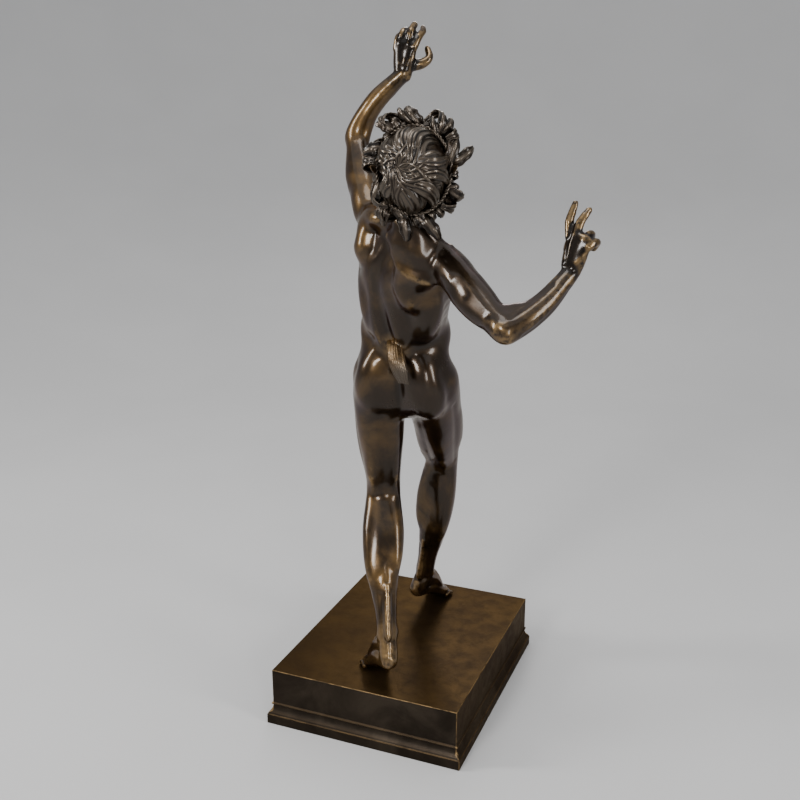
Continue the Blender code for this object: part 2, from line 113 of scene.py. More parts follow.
# Joints of the pose, in the figure's millimetres
LEFT_HIP = Vector((8, 68, 347))
LEFT_KNEE = Vector((18, 30, 198))
LEFT_ANKLE = Vector((-22, 115, 56))
LEFT_HEEL = Vector((-29, 128, 36))
LEFT_BALL = Vector((0, 94, 12))
RIGHT_HIP = Vector((-50, 58, 343))
RIGHT_KNEE = Vector((-28, -45, 218))
RIGHT_ANKLE = Vector((-1, -56, 55))
RIGHT_HEEL = Vector((6, -50, 32))
RIGHT_BALL = Vector((-1, -97, 11))
LEFT_SHOULDER = Vector((13, 72, 519))
LEFT_ELBOW = Vector((56, 12, 593))
LEFT_WRIST = Vector((5, 4, 656))
RIGHT_SHOULDER = Vector((-92, 134, 483))
RIGHT_ELBOW = Vector((-173, 211, 441))
RIGHT_WRIST = Vector((-216, 155, 486))
HEAD_CENTRE = Vector((-62, 143, 569))

X = Vector((1, 0, 0))
Z = Vector((0, 0, 1))

# Each limb by its joints, the side of its front and, for a leg and a foot, its outer side
LEGS = (
    (LEFT_HIP, LEFT_KNEE, LEFT_ANKLE, Vector((0.45, -0.89, 0)), X),
    (RIGHT_HIP, RIGHT_KNEE, RIGHT_ANKLE, Vector((-0.15, -0.99, 0)), -X),
)
ARMS = (
    (LEFT_SHOULDER, LEFT_ELBOW, LEFT_WRIST, Vector((-0.8, -0.2, 0.3))),
    (RIGHT_SHOULDER, RIGHT_ELBOW, RIGHT_WRIST, Vector((0, -0.4, 0.9))),
)
ELBOW_POINTS = (Vector((0.9, 0.1, -0.3)), Vector((-0.5, 0.6, -0.6)))
FEET = (
    (LEFT_ANKLE, LEFT_HEEL, LEFT_BALL, X),
    (RIGHT_ANKLE, RIGHT_HEEL, RIGHT_BALL, -X),
)

# Toes: length of the great toe and the second, how much shorter each next one is, half widths and spacing
TOE_REACH = 22
TOE_STEP = 2.6
GREAT_TOE = 5.4
LESSER_TOE = 4.0
TOE_SPACING = 6.4

# Spots where hands have worn the patina, and the hands, which are darker
WORN_HEEL = LEFT_ANKLE + Vector((-4, 14, 2))
WORN_TAIL = Vector((-26, 100, 388))
TAIL_MIDDLE = Vector((-28, 106, 386))
LEFT_PALM = Vector((0, -4, 690))
RIGHT_PALM = Vector((-220, 146, 516))

# Studio: name, place, width, height and watts of each softbox, and the camera
SOFTBOXES = (
    ("key_softbox", (0.25, 1.75, 1.15), 0.32, 0.5, 20),
    ("rear_softbox", (-1.15, 1.55, 0.70), 0.25, 0.6, 9),
    ("left_softbox", (1.55, 0.75, 1.15), 0.30, 0.9, 24),
    ("right_softbox", (-1.70, 0.35, 0.95), 0.35, 1.0, 18),
    ("top_softbox", (0.1, 0.35, 2.2), 0.8, 0.8, 13),
    ("front_softbox", (0.5, -1.8, 1.5), 0.6, 0.8, 9),
)
LIT_PLACE = (0.0, 0.0, 0.45)
SKY_COLOUR = (0.93, 0.96, 1.0, 1.0)
FLOOR_SIDES = 96
FLOOR_RADIUS = 1.2
SWEEP_RADIUS = 2.6
WALL_HEIGHT = 3.6
CAMERA_PLACE = (-0.4091, 1.0315, 0.7006)
CAMERA_VIEW = (0.36036, -0.88745, -0.28736)
CAMERA_LENS = 45.225


# Sizes and colours that a user may change


def length_setting(name, description, default, low, high):
    return FloatProperty(
        name=name, description=description, default=default, min=low, max=high,
        precision=5, subtype="DISTANCE", unit="LENGTH")


def count_setting(name, description, default, low, high):
    return IntProperty(name=name, description=description, default=default, min=low, max=high)


def colour_setting(name, description, default):
    return FloatVectorProperty(
        name=name, description=description, default=default, min=0, max=1, size=3, subtype="COLOR")


class FigureSettings(bpy.types.PropertyGroup):
    height: length_setting("Figure height", "From the plinth's top to the raised fingertip", 0.710, 0.3, 1.5)
    skin_cell: length_setting("Skin cell", "Size of the cells that fuse the forms", 0.0013, 0.001, 0.01)
    triangles: count_setting("Triangles", "Triangles left on the figure's skin", 185000, 5000, 195000)


class HairSettings(bpy.types.PropertyGroup):
    locks: count_setting("Locks", "Locks of hair round the crown", 15, 6, 60)
    leaves: count_setting("Leaves", "Large leaves round the wreath", 15, 6, 40)
    girth: length_setting("Lock girth", "Half width of a lock at its middle", 0.0082, 0.001, 0.02)


class PlinthSettings(bpy.types.PropertyGroup):
    arris: length_setting("Arris", "Rounding of the plinth's edges", 0.0007, 0.0001, 0.003)


class PatinaSettings(bpy.types.PropertyGroup):
    recess: colour_setting("Recess", "Near black brown in the hollows", (0.0045, 0.0030, 0.0020))
    body: colour_setting("Body", "Dark brown of most of the patina", (0.022, 0.0134, 0.0072))
    # Amber is also painted as light on the figure's lit +X side
    amber: colour_setting("Amber", "Ochre brown where the patina is thin", (0.082, 0.047, 0.0165))
    chased: colour_setting("Chased", "Rubbed grey brown of the hair and the leaves", (0.066, 0.051, 0.037))
    # Gold is also painted on the plinth's arrises as a highlight, besides the worn metal
    gold: colour_setting("Gold", "Bare metal at the worn high points", (0.52, 0.33, 0.14))


class StudioSettings(bpy.types.PropertyGroup):
    floor: colour_setting("Floor", "Pale grey of the floor and its sweep", (0.44, 0.433, 0.427))
    sky: FloatProperty(
        name="Fill", description="Strength of the light from all round", default=1.10, min=0, max=5)


def metres_per_unit():
    return bpy.context.scene.faun_figure.height / MODEL_HEIGHT


def to_row(point):
    """A place of the figure in millimetres becomes a place of the part in metres."""
    return point * metres_per_unit() + Z * PLINTH_TOP


def add_object(name, mesh, material):
    mesh.materials.clear()
    mesh.materials.append(material)
    item = bpy.data.objects.new(name, mesh)
    bpy.context.scene.collection.objects.link(item)
    return item


def add_to_figure(name, mesh, material):
    """Add a piece of the cast figure."""
    piece = add_object(name, mesh, material)
    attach(piece, "root")
    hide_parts("faun")


# Materials


def wired(tree, kind, inputs, **settings):
    """Add a node with its settings. Each input is a value or the socket that feeds it."""
    node = tree.nodes.new(kind)
    for name, value in settings.items():
        setattr(node, name, value)
    for name, value in inputs.items():
        if isinstance(value, bpy.types.NodeSocket):
            tree.links.new(value, node.inputs[name])
        else:
            node.inputs[name].default_value = value
    return node


def maths(tree, operation, *values):
    return wired(tree, "ShaderNodeMath", dict(enumerate(values)), operation=operation).outputs["Value"]


def split(tree, vector):
    return wired(tree, "ShaderNodeSeparateXYZ", {0: vector}).outputs


def attribute(tree, name):
    return wired(tree, "ShaderNodeAttribute", {}, attribute_name=name).outputs["Fac"]


def noise(tree, place, scale, detail, distortion=0.0):
    return wired(tree, "ShaderNodeTexNoise", {
        "Vector": place, "Scale": scale, "Detail": detail, "Roughness": 0.6, "Distortion": distortion,
    }).outputs["Fac"]


def spread(tree, value, low, high, start=0.0, end=1.0):
    """Stretch a value from low-high to start-end, with soft ends."""
    return wired(tree, "ShaderNodeMapRange", {
        "Value": value, "From Min": low, "From Max": high, "To Min": start, "To Max": end,
    }, interpolation_type="SMOOTHSTEP").outputs["Result"]


def blend(tree, share, first, second):
    """Mix two colours, each plain or from a socket."""
    inputs = {"Factor": share}
    for number, value in ((6, first), (7, second)):
        inputs[number] = value if isinstance(value, bpy.types.NodeSocket) else (*value, 1.0)
    return wired(tree, "ShaderNodeMix", inputs, data_type="RGBA").outputs[2]


def worn_spot(tree, place, centre, radius):
    """One inside a rounded spot of the surface, fading to nothing at its rim."""
    away = wired(tree, "ShaderNodeVectorMath", {0: place, 1: to_row(centre)}, operation="DISTANCE")
    return spread(tree, away.outputs["Value"], radius * 0.35, radius, 1.0, 0.0)


def begin_material(name):
    """A new material with its nodes, its shader and the place on the object."""
    material = bpy.data.materials.new(name)
    material.use_nodes = True
    tree = material.node_tree
    place = wired(tree, "ShaderNodeTexCoord", {}).outputs["Object"]
    return material, tree, tree.nodes["Principled BSDF"].inputs, place


def begin_metal(name, colour, rim, coat, coat_roughness):
    """Bronze under a coat of wax. Rim is its tint where it is seen edge on."""
    material, tree, surface, place = begin_material(name)
    material.diffuse_color = (*colour, 1.0)
    surface["Metallic"].default_value = 0.92
    surface["Specular Tint"].default_value = (*rim, 1.0)
    surface["Coat Weight"].default_value = coat
    surface["Coat Roughness"].default_value = coat_roughness
    surface["Coat IOR"].default_value = 1.45
    return material, tree, surface, place


def finish_metal(tree, surface, colour, roughness, height, strength, distance):
    """Link the colour, the roughness and a bump of some strength and distance."""
    bump = wired(tree, "ShaderNodeBump", {"Strength": strength, "Distance": distance, "Height": height})
    tree.links.new(colour, surface["Base Color"])
    tree.links.new(roughness, surface["Roughness"])
    tree.links.new(bump.outputs["Normal"], surface["Normal"])


def waxed_skin_bronze(colours):
    """Glossy brown patina: darker in the hollows, amber in random clouds and, as painted light, more amber
    on the lit +X side, gold where hands have worn it.
    """
    material, tree, surface, place = begin_metal(
        "waxed_skin_bronze", colours.body, rim=(0.50, 0.40, 0.31), coat=0.60, coat_roughness=0.15)
    hollow = attribute(tree, "hollow")
    crest = attribute(tree, "crest")
    clouds = noise(tree, place, 16.0, 5.0, 0.6)
    specks = noise(tree, place, 190.0, 3.0)
    streaks = noise(tree, place, 48.0, 6.0, 1.2)
    # Painted light: amber grows towards +X, the side that the key and left softboxes light, on top of random
    # clouds of amber
    clouds_and_lit_side = maths(tree, "ADD", clouds, maths(tree, "MULTIPLY", split(tree, place)["X"], 1.3))
    broad = blend(tree, spread(tree, clouds_and_lit_side, 0.40, 0.68), colours.body, colours.amber)
    mottled = blend(tree, spread(tree, streaks, 0.50, 0.75, 0.0, 0.55), broad, colours.body)
    deep = blend(tree, spread(tree, hollow, 0.10, 1.0, 0.0, 0.55), mottled, colours.recess)
    left_palm = worn_spot(tree, place, LEFT_PALM, 0.068)
    right_palm = worn_spot(tree, place, RIGHT_PALM, 0.075)
    hands = maths(tree, "MULTIPLY", maths(tree, "MAXIMUM", left_palm, right_palm), 0.85)
    deep = blend(tree, hands, deep, colours.recess)
    high = spread(tree, crest, 0.40, 1.0, 0.0, 0.30)
    rubbed = maths(tree, "MULTIPLY", high, spread(tree, specks, 0.30, 0.60))
    heel = worn_spot(tree, place, WORN_HEEL, 0.036)
    tail = worn_spot(tree, place, WORN_TAIL, 0.020)
    patchy = spread(tree, streaks, 0.30, 0.62, 0.02, 0.26)
    spots = maths(tree, "MULTIPLY", maths(tree, "MAXIMUM", heel, tail), patchy)
    colour = blend(tree, maths(tree, "MAXIMUM", rubbed, spots), deep, colours.gold)
    dull = spread(tree, hollow, 0.1, 0.8, 0.0, 0.12)
    roughness = maths(tree, "ADD", spread(tree, clouds, 0.3, 0.7, 0.27, 0.38), dull)
    grain = maths(tree, "ADD", specks, maths(tree, "MULTIPLY", streaks, 1.6))
    finish_metal(tree, surface, colour, roughness, grain, 0.16, 0.00035)
    return material


def chased_hair_bronze(colours):
    """Darker and less glossy than the skin, with the ridges of the chasing rubbed brighter."""
    material, tree, surface, place = begin_metal(
        "chased_hair_bronze", colours.body, rim=(0.8, 0.72, 0.62), coat=0.5, coat_roughness=0.2)
    clouds = noise(tree, place, 30.0, 4.0)
    grit = noise(tree, place, 420.0, 4.0)
    ground = blend(tree, spread(tree, clouds, 0.35, 0.70), colours.recess, colours.body)
    base = blend(tree, spread(tree, attribute(tree, "ridge"), 0.2, 0.8), ground, colours.chased)
    tail = worn_spot(tree, place, TAIL_MIDDLE, 0.028)
    warm = blend(tree, tail, base, colours.amber)
    rubbed = maths(tree, "MULTIPLY", tail, spread(tree, clouds, 0.30, 0.65, 0.04, 0.34))
    colour = blend(tree, rubbed, warm, colours.gold)
    finish_metal(tree, surface, colour, spread(tree, grit, 0.3, 0.7, 0.26, 0.42), grit, 0.25, 0.0003)
    return material


def nearest_edge(tree, place, half_width, half_depth, top):
    """Distance to the nearest edge: the middle one of three distances to the faces, flared at the foot."""
    parts = split(tree, place)
    cove_middle = FASCIA_HEIGHT + COVE_HEIGHT / 2
    flare = spread(tree, parts["Z"], FASCIA_HEIGHT, cove_middle, FASCIA_PROJECTION, 0.0)
    distances = []
    for name, half in (("X", half_width), ("Y", half_depth)):
        inside = maths(tree, "SUBTRACT", half, maths(tree, "ABSOLUTE", parts[name]))
        distances.append(maths(tree, "ADD", inside, flare))
    a, b = distances
    c = maths(tree, "SUBTRACT", top, parts["Z"])
    least = maths(tree, "MINIMUM", maths(tree, "MINIMUM", a, b), c)
    most = maths(tree, "MAXIMUM", maths(tree, "MAXIMUM", a, b), c)
    total = maths(tree, "ADD", maths(tree, "ADD", a, b), c)
    return maths(tree, "SUBTRACT", maths(tree, "SUBTRACT", total, least), most), parts["Z"]


def satin_plinth_bronze(colours):
    """Satin brown patina: mottled on top, near black on the sides, with thin bright arrises that are partly
    worn metal and partly a painted highlight.
    """
    material, tree, surface, place = begin_metal(
        "satin_plinth_bronze", colours.body, rim=(0.52, 0.45, 0.38), coat=0.04, coat_roughness=0.3)
    clouds = noise(tree, place, 13.0, 6.0, 0.8)
    blots = noise(tree, place, 60.0, 5.0, 0.4)
    specks = noise(tree, place, 300.0, 3.0)
    normal = wired(tree, "ShaderNodeNewGeometry", {}).outputs["Normal"]
    upward = spread(tree, split(tree, normal)["Z"], 0.5, 0.95)
    top = blend(tree, spread(tree, clouds, 0.30, 0.72, 0.20, 0.55), colours.body, colours.amber)
    top = blend(tree, spread(tree, blots, 0.50, 0.75, 0.0, 0.3), top, colours.body)
    side = blend(tree, spread(tree, clouds, 0.35, 0.75, 0.20, 0.65), colours.recess, colours.chased)
    base = blend(tree, upward, side, top)
    half_width = PLINTH_HIGH.x - FASCIA_PROJECTION
    half_depth = PLINTH_HIGH.y - FASCIA_PROJECTION
    edge, height = nearest_edge(tree, place, half_width, half_depth, PLINTH_TOP)
    # Gold along the arrises and two moulding levels: partly worn metal, partly a painted highlight where the
    # edges catch the light
    edges = spread(tree, edge, 0.0003, 0.0011, 1.0, 0.0)
    for level in (FASCIA_HEIGHT, FASCIA_HEIGHT + STEP_HEIGHT + COVE_HEIGHT + BEAD_HEIGHT / 2):
        away = maths(tree, "ABSOLUTE", maths(tree, "SUBTRACT", height, level))
        edges = maths(tree, "MAXIMUM", edges, spread(tree, away, 0.0002, 0.0009, 0.25, 0.0))
    worn = maths(tree, "MULTIPLY", edges, spread(tree, blots, 0.36, 0.58, 0.05, 0.34))
    colour = blend(tree, worn, base, colours.gold)
    speckled = maths(tree, "MULTIPLY", specks, 0.06)
    roughness = maths(tree, "ADD", spread(tree, blots, 0.3, 0.7, 0.36, 0.50), speckled)
    grain = maths(tree, "ADD", specks, maths(tree, "MULTIPLY", blots, 2.0))
    finish_metal(tree, surface, colour, roughness, grain, 0.15, 0.0005)
    return material


def matt_paper(colour):
    """Seamless paper of the studio, very slightly uneven."""
    material, tree, surface, place = begin_material("matt_paper")
    shade = spread(tree, noise(tree, place, 3.0, 2.0), 0.3, 0.7)
    darker = [part * 0.97 for part in colour]
    tree.links.new(blend(tree, shade, darker, colour), surface["Base Color"])
    surface["Roughness"].default_value = 0.75
    surface["Specular IOR Level"].default_value = 0.2
    return material


# Places on the body


class Bone:
    """A straight axis from one joint to the next, with a front and an outer side."""

    def __init__(self, start, end, front, outward):
        self.start = start
        self.length = (end - start).length
        self.along = (end - start).normalized()
        self.front = (front - self.along * front.dot(self.along)).normalized()
        side = self.along.cross(self.front)
        self.outward = side if side.dot(outward) > 0 else -side

    def at(self, share, outward=0.0, front=0.0):
        return self.start + self.along * self.length * share + self.outward * outward + self.front * front

    def path(self, *stops):
        return [self.at(*stop) for stop in stops]

    def station(self, share, width, depth, outward=0.0, front=0.0):
        return (*self.at(share, outward, front), width, depth)


class Block:
    """A solid part of the body, such as the chest, with its own left, back and up."""

    def __init__(self, origin, left, up):
        self.origin = origin
        self.up = up.normalized()
        self.left = (left - self.up * left.dot(self.up)).normalized()
        self.back = self.up.cross(self.left)

    def at(self, left, back, up):
        return self.origin + self.left * left + self.back * back + self.up * up

    def path(self, *stops):
        return [self.at(*stop) for stop in stops]

    def towards(self, left, back, up):
        return (self.left * left + self.back * back + self.up * up).normalized()


PELVIS = Block(Vector((-20, 61, 352)), Vector((1, 0.06, 0)), Vector((-0.02, 0.06, 1)))
CHEST = Block(Vector((-35, 92, 466)), Vector((0.84, -0.50, 0.22)), Vector((-0.15, 0.42, 0.90)))
HEAD = Block(HEAD_CENTRE, Vector((0.928, 0.367, 0)), Vector((-0.266, 0.673, 0.689)))


# Modelling tools


def smooth_stations(stations):
    """Catmull-Rom curve through stations of x, y, z, half width and half depth."""
    points = [Vector(station) for station in stations]
    points = [points[0] * 2 - points[1]] + points + [points[-1] * 2 - points[-2]]
    result = []
    for index in range(1, len(points) - 2):
        before, start, end, after = points[index - 1:index + 3]
        for step in range(SPAN_STEPS):
            t = step / SPAN_STEPS
            result.append(0.5 * (2 * start + (end - before) * t
                                 + (2 * before - 5 * start + 4 * end - after) * t ** 2
                                 + (3 * start - before - 3 * end + after) * t ** 3))
    result.append(points[-2])
    return result


def add_limb(shape, stations, side, end_side=None):
    """Loft oval rings along a curve and round both ends. The half widths lie along side."""
    curve = smooth_stations(stations)
    centres = [Vector(point[:3]) for point in curve]
    last = len(centres) - 1
    rings = []
    for index, centre in enumerate(centres):
        tangent = (centres[min(index + 1, last)] - centres[max(index - 1, 0)]).normalized()
        axis = side.lerp(end_side, index / last) if end_side else side
        across = (axis - tangent * axis.dot(tangent)).normalized()
        rings.append((centre, across, tangent, curve[index][3], curve[index][4]))
    domes = []
    for ring, sign in ((rings[0], -1), (rings[-1], 1)):
        centre, across, tangent, width, depth = ring
        caps = []
        for degrees in DOME_ANGLES:
            angle = math.radians(degrees)
            shift = tangent * sign * math.sin(angle) * min(width, depth)
            shrink = math.cos(angle)
            caps.append((centre + shift, across, tangent, width * shrink, depth * shrink))
        domes.append(caps)
    loops = []
    for centre, across, tangent, width, depth in domes[0][::-1] + rings + domes[1]:
        deep = tangent.cross(across)
        loop = []
        for number in range(RING_SIDES):
            turn = 2 * math.pi * number / RING_SIDES
            place = centre + across * width * math.cos(turn) + deep * depth * math.sin(turn)
            loop.append(shape.verts.new(place))
        loops.append(loop)
    for lower, upper in zip(loops, loops[1:]):
        for number in range(RING_SIDES):
            following = (number + 1) % RING_SIDES
            shape.faces.new((lower[number], lower[following], upper[following], upper[number]))
    shape.faces.new(loops[0][::-1])
    shape.faces.new(loops[-1])


def add_muscle(shape, start, end, outward, width, depth):
    """Ellipsoid from one end of a muscle to the other; depth is its half thickness along outward."""
    along = (end - start) / 2
    direction = along.normalized()
    deep = (outward - direction * outward.dot(direction)).normalized()
    across = deep.cross(direction)
    placed = Matrix((across * width, deep * depth, along)).transposed().to_4x4()
    placed.translation = (start + end) / 2
    bmesh.ops.create_icosphere(shape, subdivisions=BALL_DETAIL, radius=1.0, matrix=placed)


def add_ball(shape, centre, radius):
    placed = Matrix.Translation(centre) @ Matrix.Diagonal((radius, radius, radius, 1))
    bmesh.ops.create_icosphere(shape, subdivisions=BALL_DETAIL, radius=1.0, matrix=placed)


# The figure's body


def add_leg(shape, hip, knee, ankle, front, outward):
    thigh = Bone(hip, knee, front, outward)
    shank = Bone(knee, ankle, front, outward)
    back = -thigh.front
    calf_back = -shank.front
    add_limb(shape, [
        thigh.station(0.0, 29, 33),
        thigh.station(0.2, 29, 32),
        thigh.station(0.45, 27, 29),
        thigh.station(0.7, 23, 25),
        thigh.station(0.92, 20.5, 21),
        shank.station(0.06, 20, 20, 0, -1),
        shank.station(0.2, 22, 20, 2, -3),
        shank.station(0.4, 22, 19, 3, -4),
        shank.station(0.62, 17, 16, 3, -3),
        shank.station(0.82, 12.5, 13, 1, -1),
        shank.station(1.0, 11.5, 12.5),
    ], thigh.outward, shank.outward)
    add_muscle(shape, thigh.at(0.04, 18, 5), thigh.at(0.95, 11, 8), thigh.outward, 16, 13)
    add_muscle(shape, thigh.at(0.55, -10, 8), thigh.at(1.03, -9, 9), -thigh.outward, 12, 11)
    add_muscle(shape, thigh.at(0.0, 3, 17), thigh.at(0.94, 1, 13), thigh.front, 14, 15)
    add_muscle(shape, thigh.at(0.05, 8, -13), thigh.at(1.0, 12, -10), back, 11, 15)
    add_muscle(shape, thigh.at(0.05, -8, -13), thigh.at(1.02, -11, -10), back, 11, 15)
    add_muscle(shape, thigh.at(-0.02, -12, 2), thigh.at(0.5, -8, 0), -thigh.outward, 16, 12)
    add_ball(shape, thigh.at(1.0, 0, 13), 10)
    add_muscle(shape, shank.at(-0.1, -8, -6), shank.at(0.6, -9, -11), calf_back, 13.5, 14)
    add_muscle(shape, shank.at(-0.1, 10, -6), shank.at(0.68, 15, -9), calf_back, 14, 13)
    add_muscle(shape, shank.at(0.06, 8, 9), shank.at(0.7, 5, 6), shank.front, 8, 7)
    add_limb(shape, [
        shank.station(0.5, 9, 4, 0, -16),
        shank.station(0.75, 4.8, 4, 0, -14),
        shank.station(1.0, 4.8, 4, 0, -15),
    ], shank.outward)
    add_ball(shape, shank.at(0.98, 9.5, 1), 5)
    add_ball(shape, shank.at(0.95, -9.5, 2), 5.5)


def foot_axes(heel, ball, outward):
    """Level directions from the heel to the toes and to the outer side."""
    forward = Vector((ball.x - heel.x, ball.y - heel.y, 0)).normalized()
    side = forward.cross(Z)
    return forward, side if side.dot(outward) > 0 else -side


def add_foot(shape, ankle, heel, ball, outward):
    """Heel, instep and sole, then five toes side by side with the great toe on the inner side."""
    forward, side = foot_axes(heel, ball, outward)
    middle = heel.lerp(ball, 0.5)
    add_limb(shape, [
        (*(ankle + Z * 18), 5, 6),
        (*(ankle + Z * 3 - forward), 9, 10.5),
        (*ankle.lerp(heel, 0.6), 10.5, 12),
        (*(heel + Z * 3), 10, 10.5),
    ], side)
    add_limb(shape, [
        (*(heel + Z * 2), 9.5, 10),
        (*(middle + Z * 7), 13, 11),
        (*(ball + Z * 3), 15.5, 8.5),
        (*(ball + forward * 9), 14.5, 7),
    ], side)
    add_limb(shape, [
        (*(ankle - Z * 4), 11, 12),
        (*(ankle.lerp(ball, 0.4) + Z * 3 + forward * 3), 12, 11),
        (*(ball + Z * 6), 13, 6),
    ], side)
    for number in range(5):
        reach = TOE_REACH - TOE_STEP * max(number - 1, 0)
        radius = LESSER_TOE - 0.25 * number if number else GREAT_TOE
        root = ball + side * (number * TOE_SPACING - 12.5) + forward * 6
        root.z = radius + 2.0
        middle = root + forward * reach * 0.5 + Z * 0.5
        tip = root + forward * reach - Z * 2.2
        add_limb(shape, [
            (*root, radius, radius),
            (*middle, radius * 0.88, radius * 0.9),
            (*tip, radius, radius * 0.8),
        ], side)


def add_trunk(shape):
    """Pelvis to neck as one loft that turns its left side forward on the way up."""
    add_limb(shape, [
        (-20, 62, 332, 42, 33),
        (-18, 60, 352, 50, 40),
        (-18, 60, 378, 47, 36),
        (-23, 65, 406, 46, 33),
        (-29, 77, 434, 49, 36),
        (-34, 90, 464, 55, 40),
        (-39, 101, 488, 50, 35),
        (-41, 109, 507, 30, 24),
    ], PELVIS.left, CHEST.left)
    add_limb(shape, [
        (-43, 108, 500, 28, 25),
        (-49, 119, 524, 24, 23),
        (-58, 135, 552, 24, 25),
    ], CHEST.left, HEAD.left)


def add_back(shape):
    """Columns along the spine, shoulder blades, broad back, loins and seat."""
    back = CHEST.back
    for side in (1, -1):
        add_muscle(shape, PELVIS.at(side * 12, 24, 10), CHEST.at(side * 13, 26, 22), back, 13, 13)
        add_muscle(shape, CHEST.at(side * 50, 6, 22), PELVIS.at(side * 24, 22, 40), back, 20, 17)
        seat = PELVIS.path((side * 21 - 2, 24, 34), (side * 33 - 3, 14, -48))
        add_muscle(shape, *seat, PELVIS.back, 25, 25)
        hip = PELVIS.path((side * 31 - 1, 8, 40), (side * 43 - 3, 0, -26))
        add_muscle(shape, *hip, PELVIS.back, 15, 24)
    add_muscle(shape, CHEST.at(-26, 32, 36), CHEST.at(-44, 28, -14), back, 18, 10)
    add_muscle(shape, CHEST.at(-24, 32, 30), CHEST.at(-66, 14, 30), back, 16, 12)
    add_muscle(shape, CHEST.at(-2, 30, 58), CHEST.at(-58, 18, 48), back, 17, 11)
    add_muscle(shape, CHEST.at(-48, 16, 34), PELVIS.at(-40, 8, 58), PELVIS.left, 18, 15)
    add_muscle(shape, CHEST.at(26, 32, 34), CHEST.at(44, 20, 0), back, 16, 12)
    add_muscle(shape, CHEST.at(26, 30, 34), LEFT_SHOULDER, back, 14, 13)
    add_muscle(shape, CHEST.at(-10, 24, 84), RIGHT_SHOULDER + Z * 8, CHEST.up, 16, 14)
    add_muscle(shape, CHEST.at(8, 24, 66), LEFT_SHOULDER + Z * 3, CHEST.up, 14, 12)


def add_front(shape):
    """Chest, belly, flanks and a plain low mound at the fork."""
    front = -CHEST.back
    for side in (1, -1):
        add_muscle(shape, CHEST.at(side * 6, -32, 16), CHEST.at(side * 56, -12, 28), front, 19, 13)
        add_muscle(shape, CHEST.at(side * 11, -32, 0), PELVIS.at(side * 9, -29, -6), front, 12, 11)
        flank = PELVIS.path((side * 35, 0, 72), (side * 38, -8, 18))
        add_muscle(shape, *flank, PELVIS.left * side, 20, 14)
    add_ball(shape, PELVIS.at(0, -30, -18), 13)


def add_arm(shape, shoulder, elbow, wrist, front, elbow_back):
    """Upper arm and forearm. Front is the side of the biceps."""
    outward = (elbow - shoulder).cross(front).normalized()
    upper = Bone(shoulder, elbow, front, outward)
    lower = Bone(elbow, wrist, front, outward)
    add_limb(shape, [
        upper.station(0.0, 19, 19),
        upper.station(0.25, 17.5, 18),
        upper.station(0.55, 15.5, 17),
        upper.station(0.85, 13.5, 14),
        upper.station(1.0, 13.5, 13),
    ], upper.outward)
    add_limb(shape, [
        lower.station(0.0, 13.5, 12.5, 0, -2),
        lower.station(0.25, 15, 12.5, 0, -5),
        lower.station(0.55, 13, 11.5, 0, -6),
        lower.station(0.85, 10, 9.5, 0, -3),
        lower.station(1.05, 10, 8.5),
    ], lower.outward)
    add_muscle(shape, upper.at(-0.2), upper.at(0.5), upper.outward, 19, 20)
    add_muscle(shape, upper.at(0.2, 0, 6), upper.at(0.95, 0, 4), upper.front, 11, 12)
    add_muscle(shape, upper.at(0.05, 2, -9), upper.at(0.95, 1, -6), -upper.front, 13, 13)
    add_muscle(shape, upper.at(0.80, 6, -3), lower.at(0.5, 5, -6), upper.outward, 8, 8)
    add_ball(shape, elbow + elbow_back.normalized() * 6.5, 9)


def add_hand(shape, wrist, knuckles, finger_joints, thumb):
    """Palm from the wrist to four knuckles, four fingers and a thumb, each by its joints."""
    across = (knuckles[0] - knuckles[3]).normalized()
    middle = (knuckles[1] + knuckles[2]) / 2
    add_limb(shape, [
        (*wrist, 9.5, 8),
        (*wrist.lerp(middle, 0.35), 11.5, 7.5),
        (*wrist.lerp(middle, 0.75), 12.5, 6.5),
        (*middle, 12.5, 5),
    ], across)
    for joints in finger_joints:
        add_limb(shape, [(*point, radius, radius) for point, radius in zip(joints, FINGER_RADII)], across)
    add_limb(shape, [(*point, radius, radius) for point, radius in zip(thumb, THUMB_RADII)], Z)


# Joints of the fingers, from the knuckle to the tip


def places(*rows):
    return [Vector(row) for row in rows]


def fingers(knuckles, *joints):
    return [[knuckle, *places(*rest)] for knuckle, rest in zip(knuckles, joints)]


LEFT_KNUCKLES = places((-7, 3, 684), (-1, 3, 687), (6, 3, 687), (12, 3, 683))
LEFT_FINGERS = fingers(
    LEFT_KNUCKLES,
    ((-10, -3, 694), (-11, -12, 700), (-9, -18, 704)),
    ((-3, 1, 699), (-3, -8, 706), (-2, -14, 706.5)),
    ((6, 0, 699), (4, -11, 700), (3, -17, 693)),
    ((11, 0, 694), (9, -10, 694), (8, -14, 687)),
)
LEFT_THUMB = places((-2, -1, 666), (-13, -6, 668), (-19, -11, 674), (-15, -16, 683))
RIGHT_KNUCKLES = places((-213, 150, 516), (-219, 152, 518), (-226, 154, 514), (-231, 157, 509))
RIGHT_FINGERS = fingers(
    RIGHT_KNUCKLES,
    ((-211, 146, 528), (-212, 142, 536), (-214, 139, 544)),
    ((-221, 148, 528), (-224, 145, 534), (-227, 141, 539)),
    ((-229, 148, 518), (-230, 139, 517), (-227, 134, 510)),
    ((-235, 152, 512), (-236, 144, 511), (-232, 138, 505)),
)
RIGHT_THUMB = places((-216, 148, 497), (-210, 138, 503), (-210, 130, 511), (-214, 125, 517))
HANDS = (
    (LEFT_WRIST, LEFT_KNUCKLES, LEFT_FINGERS, LEFT_THUMB),
    (RIGHT_WRIST, RIGHT_KNUCKLES, RIGHT_FINGERS, RIGHT_THUMB),
)
FINGER_RADII = (4.4, 4.0, 3.6, 3.0)
THUMB_RADII = (6.6, 5.4, 4.2, 3.4)


# Face and tail. In the head's block, back is the nape's side and up the crown


